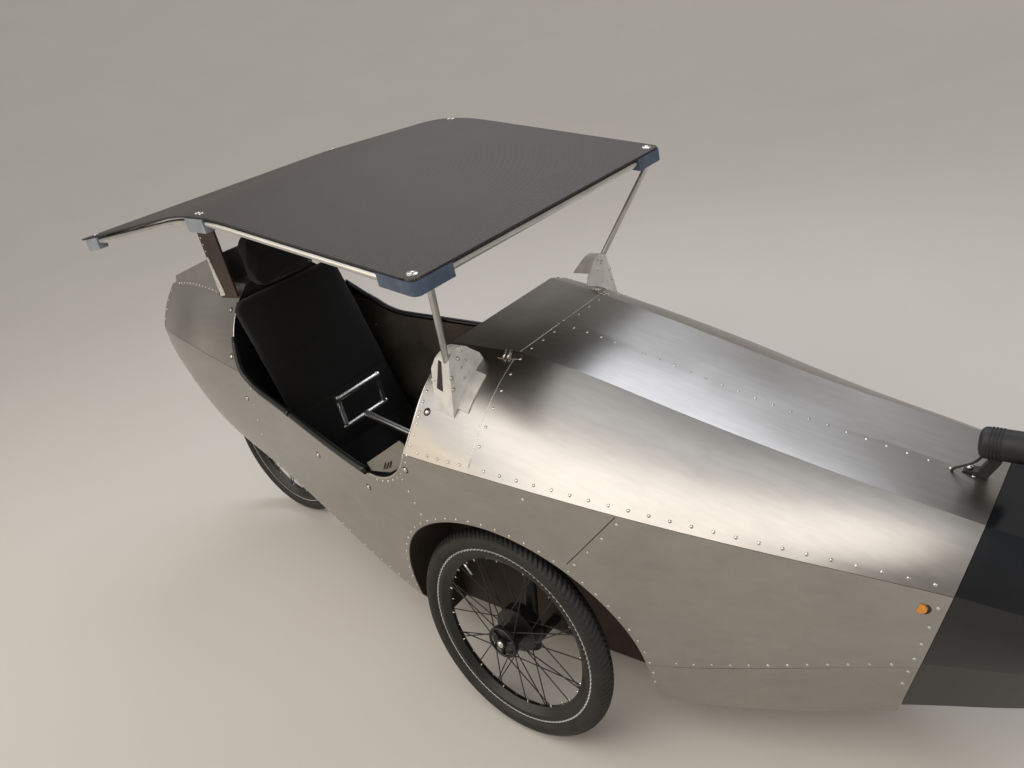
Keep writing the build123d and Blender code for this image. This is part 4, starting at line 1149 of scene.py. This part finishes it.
def swollen(pad, cap, frames=16):
    """The pad blown up by the cloth solver, each point held within a cap."""
    rest = [v.co.copy() for v in pad.data.vertices]
    cloth = pad.modifiers.new("cloth", "CLOTH")
    cloth.settings.use_pressure = True
    cloth.settings.uniform_pressure_force = 4.0
    cloth.settings.effector_weights.gravity = 0.0
    cloth.point_cache.frame_end = frames
    for frame_number in range(1, frames + 1):
        bpy.context.scene.frame_set(frame_number)
    keep_mesh(pad)
    bpy.context.scene.frame_set(1)
    for vertex, start in zip(pad.data.vertices, rest):
        move = vertex.co - start
        if move.length > cap:
            vertex.co = start + move.normalized() * cap


def channel(along):
    """1 on a seam and falling off quickly beside it."""
    away = abs(along - round(along))
    return max(0.0, 1 - away * 9) ** 2


def sewn(pad, pitch, depth, way):
    """Channels pressed in at even distances along a direction, and small folds."""
    pad.data.update()
    for vertex in pad.data.vertices:
        groove = channel(vertex.co.dot(way) / pitch)
        fold = noise.noise(vertex.co * 14.0) * 1.4 * MM
        vertex.co -= vertex.normal * (depth * groove - fold)


def make_pad(name, node_name, voxel, cap, pitch, way):
    pad = remeshed(name, node_name, voxel, cap * 0.55)
    swollen(pad, cap)
    sewn(pad, pitch, 2.6 * MM, way)
    paint(pad, SEAT_CLOTH)
    pad.data.polygons.foreach_set("use_smooth", [True] * len(pad.data.polygons))
    finer = pad.modifiers.new("finer", "SUBSURF")
    finer.levels = finer.render_levels = 1
    keep_mesh(pad)
    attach(pad, "root")
    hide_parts(node_name)
    print(name, len(pad.data.polygons), "faces")


make_pad("seat_cushion", "seat", 9 * MM, 5 * MM, 72 * MM, Vector((-0.55, 0, 0.83)))
make_pad("headrest_cushion", "headrest", 6 * MM, 6 * MM, 75 * MM, Vector((0, 0, 1)))

# %% [markdown]
# The tiller's grip bar has bolts at its corners, and one of its legs is a threaded rod.

# %% Tiller details
tiller_low, tiller_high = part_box("tiller")
BAR_Z = tiller_high[2] - 8 * MM
LOW_BAR_Z = BAR_Z - 88 * MM
BAR_X = tiller_low[0] + 8 * MM
LEG_Y = tiller_high[1] - 8 * MM
threads = [circle(Vector((BAR_X, -LEG_Y, z)), X_WAY, Y_WAY, 7.4 * MM, 16)
           for z in steps(LOW_BAR_Z + 12 * MM, BAR_Z - 12 * MM, 4 * MM)]
tubes("threaded_leg", threads, 0.9 * MM, TUBE_METAL, "tiller", sides=6)
bolts = [(Vector((BAR_X, side * LEG_Y, BAR_Z + 7 * MM)), Z_WAY) for side in (-1, 1)]
bolts += [(Vector((BAR_X, side * (LEG_Y + 7.6 * MM), LOW_BAR_Z)), Y_WAY * side) for side in (-1, 1)]
heads("tiller_bolts", bolts, 5.4 * MM, 3.2 * MM, RIVET_METAL, "tiller")

# %% [markdown]
# The stage is a pale floor that runs up into a pale backdrop, soft light from large
# panels, and a sky that darkens towards its top. A bare metal body shows its
# surroundings, so the sky has a gentle gradient for it to reflect.

# %% Floor and light
FLOOR_RADII = [0.0, 2.0, 4.0] + [5.0 + 0.75 * i for i in range(30)]
FLOOR_TURNS = 96


def floor_height(radius):
    """Flat in the middle, and a smooth rise beyond 4 metres."""
    return 0.027 * max(0.0, radius - 4.0) ** 2


around = [2 * pi * k / FLOOR_TURNS for k in range(FLOOR_TURNS)]
floor_corners = [(r * cos(turn), r * sin(turn), floor_height(r))
                 for r in FLOOR_RADII[1:] for turn in around]
floor_faces = [tuple(range(FLOOR_TURNS))]
for ring in range(len(FLOOR_RADII) - 2):
    for k in range(FLOOR_TURNS):
        a, b = ring * FLOOR_TURNS + k, ring * FLOOR_TURNS + (k + 1) % FLOOR_TURNS
        floor_faces.append((a, a + FLOOR_TURNS, b + FLOOR_TURNS, b))
floor_mesh = bpy.data.meshes.new("floor")
floor_mesh.from_pydata(floor_corners, [], floor_faces)
floor_mesh.polygons.foreach_set("use_smooth", [True] * len(floor_faces))
floor = add_object("floor", floor_mesh)
floor_material, floor_tree, floor_place = new_material("pale floor")
surface(floor_tree, {
    "Base Color": ramp(floor_tree, cloud(floor_tree, floor_place, 0.8, detail=3),
                       ((0.3, "#cfcac2"), (0.7, "#d2cdc6"))),
    "Roughness": 0.85})
floor_mesh.materials.append(floor_material)

world = bpy.data.worlds.new("sky")
bpy.context.scene.world = world
world.use_nodes = True
sky = world.node_tree
sky.nodes.clear()
direction = node(sky, "ShaderNodeTexCoord").outputs["Generated"]
height = node(sky, "ShaderNodeSeparateXYZ", {"Vector": direction}).outputs["Z"]
sky_colour = ramp(sky, span(sky, height, 0.5, 1.0),
                  ((0.0, "#b8b1a6"), (0.52, "#cdc9c2"), (0.72, "#b9b7b3"), (1.0, "#8f8f90")))
light = node(sky, "ShaderNodeBackground", {"Color": sky_colour, "Strength": 0.75})
node(sky, "ShaderNodeOutputWorld", {"Surface": light.outputs[0]})


def panel(name, place, aim, size, power, colour="#ffffff"):
    """A soft rectangular lamp that points at a place."""
    data = bpy.data.lights.new(name, "AREA")
    data.shape = "RECTANGLE"
    data.size, data.size_y = size
    data.energy = power
    data.color = linear(colour)[:3]
    lamp = add_object(name, data)
    lamp.location = place
    lamp.rotation_mode = "QUATERNION"
    lamp.rotation_quaternion = (Vector(aim) - Vector(place)).to_track_quat("-Z", "Y")


panel("key panel", (0.4, -2.2, 3.4), (0, 0, 0.5), (3.4, 2.2), 38, "#fff4e6")
panel("long panel", (-0.5, 1.8, 3.2), (0, 0, 0.5), (3.2, 0.8), 34, "#eef3ff")
panel("left panel", (-1.9, -3.4, 1.7), (-0.2, 0, 0.7), (3.4, 2.2), 38, "#fff0da")
panel("front panel", (3.6, -0.5, 1.6), (0, 0, 0.5), (1.6, 1.6), 14)
soft_sun = bpy.data.lights.new("soft sun", "SUN")
soft_sun.energy = 0.9
soft_sun.angle = radians(70)
sun_lamp = add_object("soft sun", soft_sun)
sun_lamp.rotation_euler = (radians(22), radians(-14), 0)
print("stage ready")

# %% Colour view
bpy.context.scene.view_settings.view_transform = "Standard"
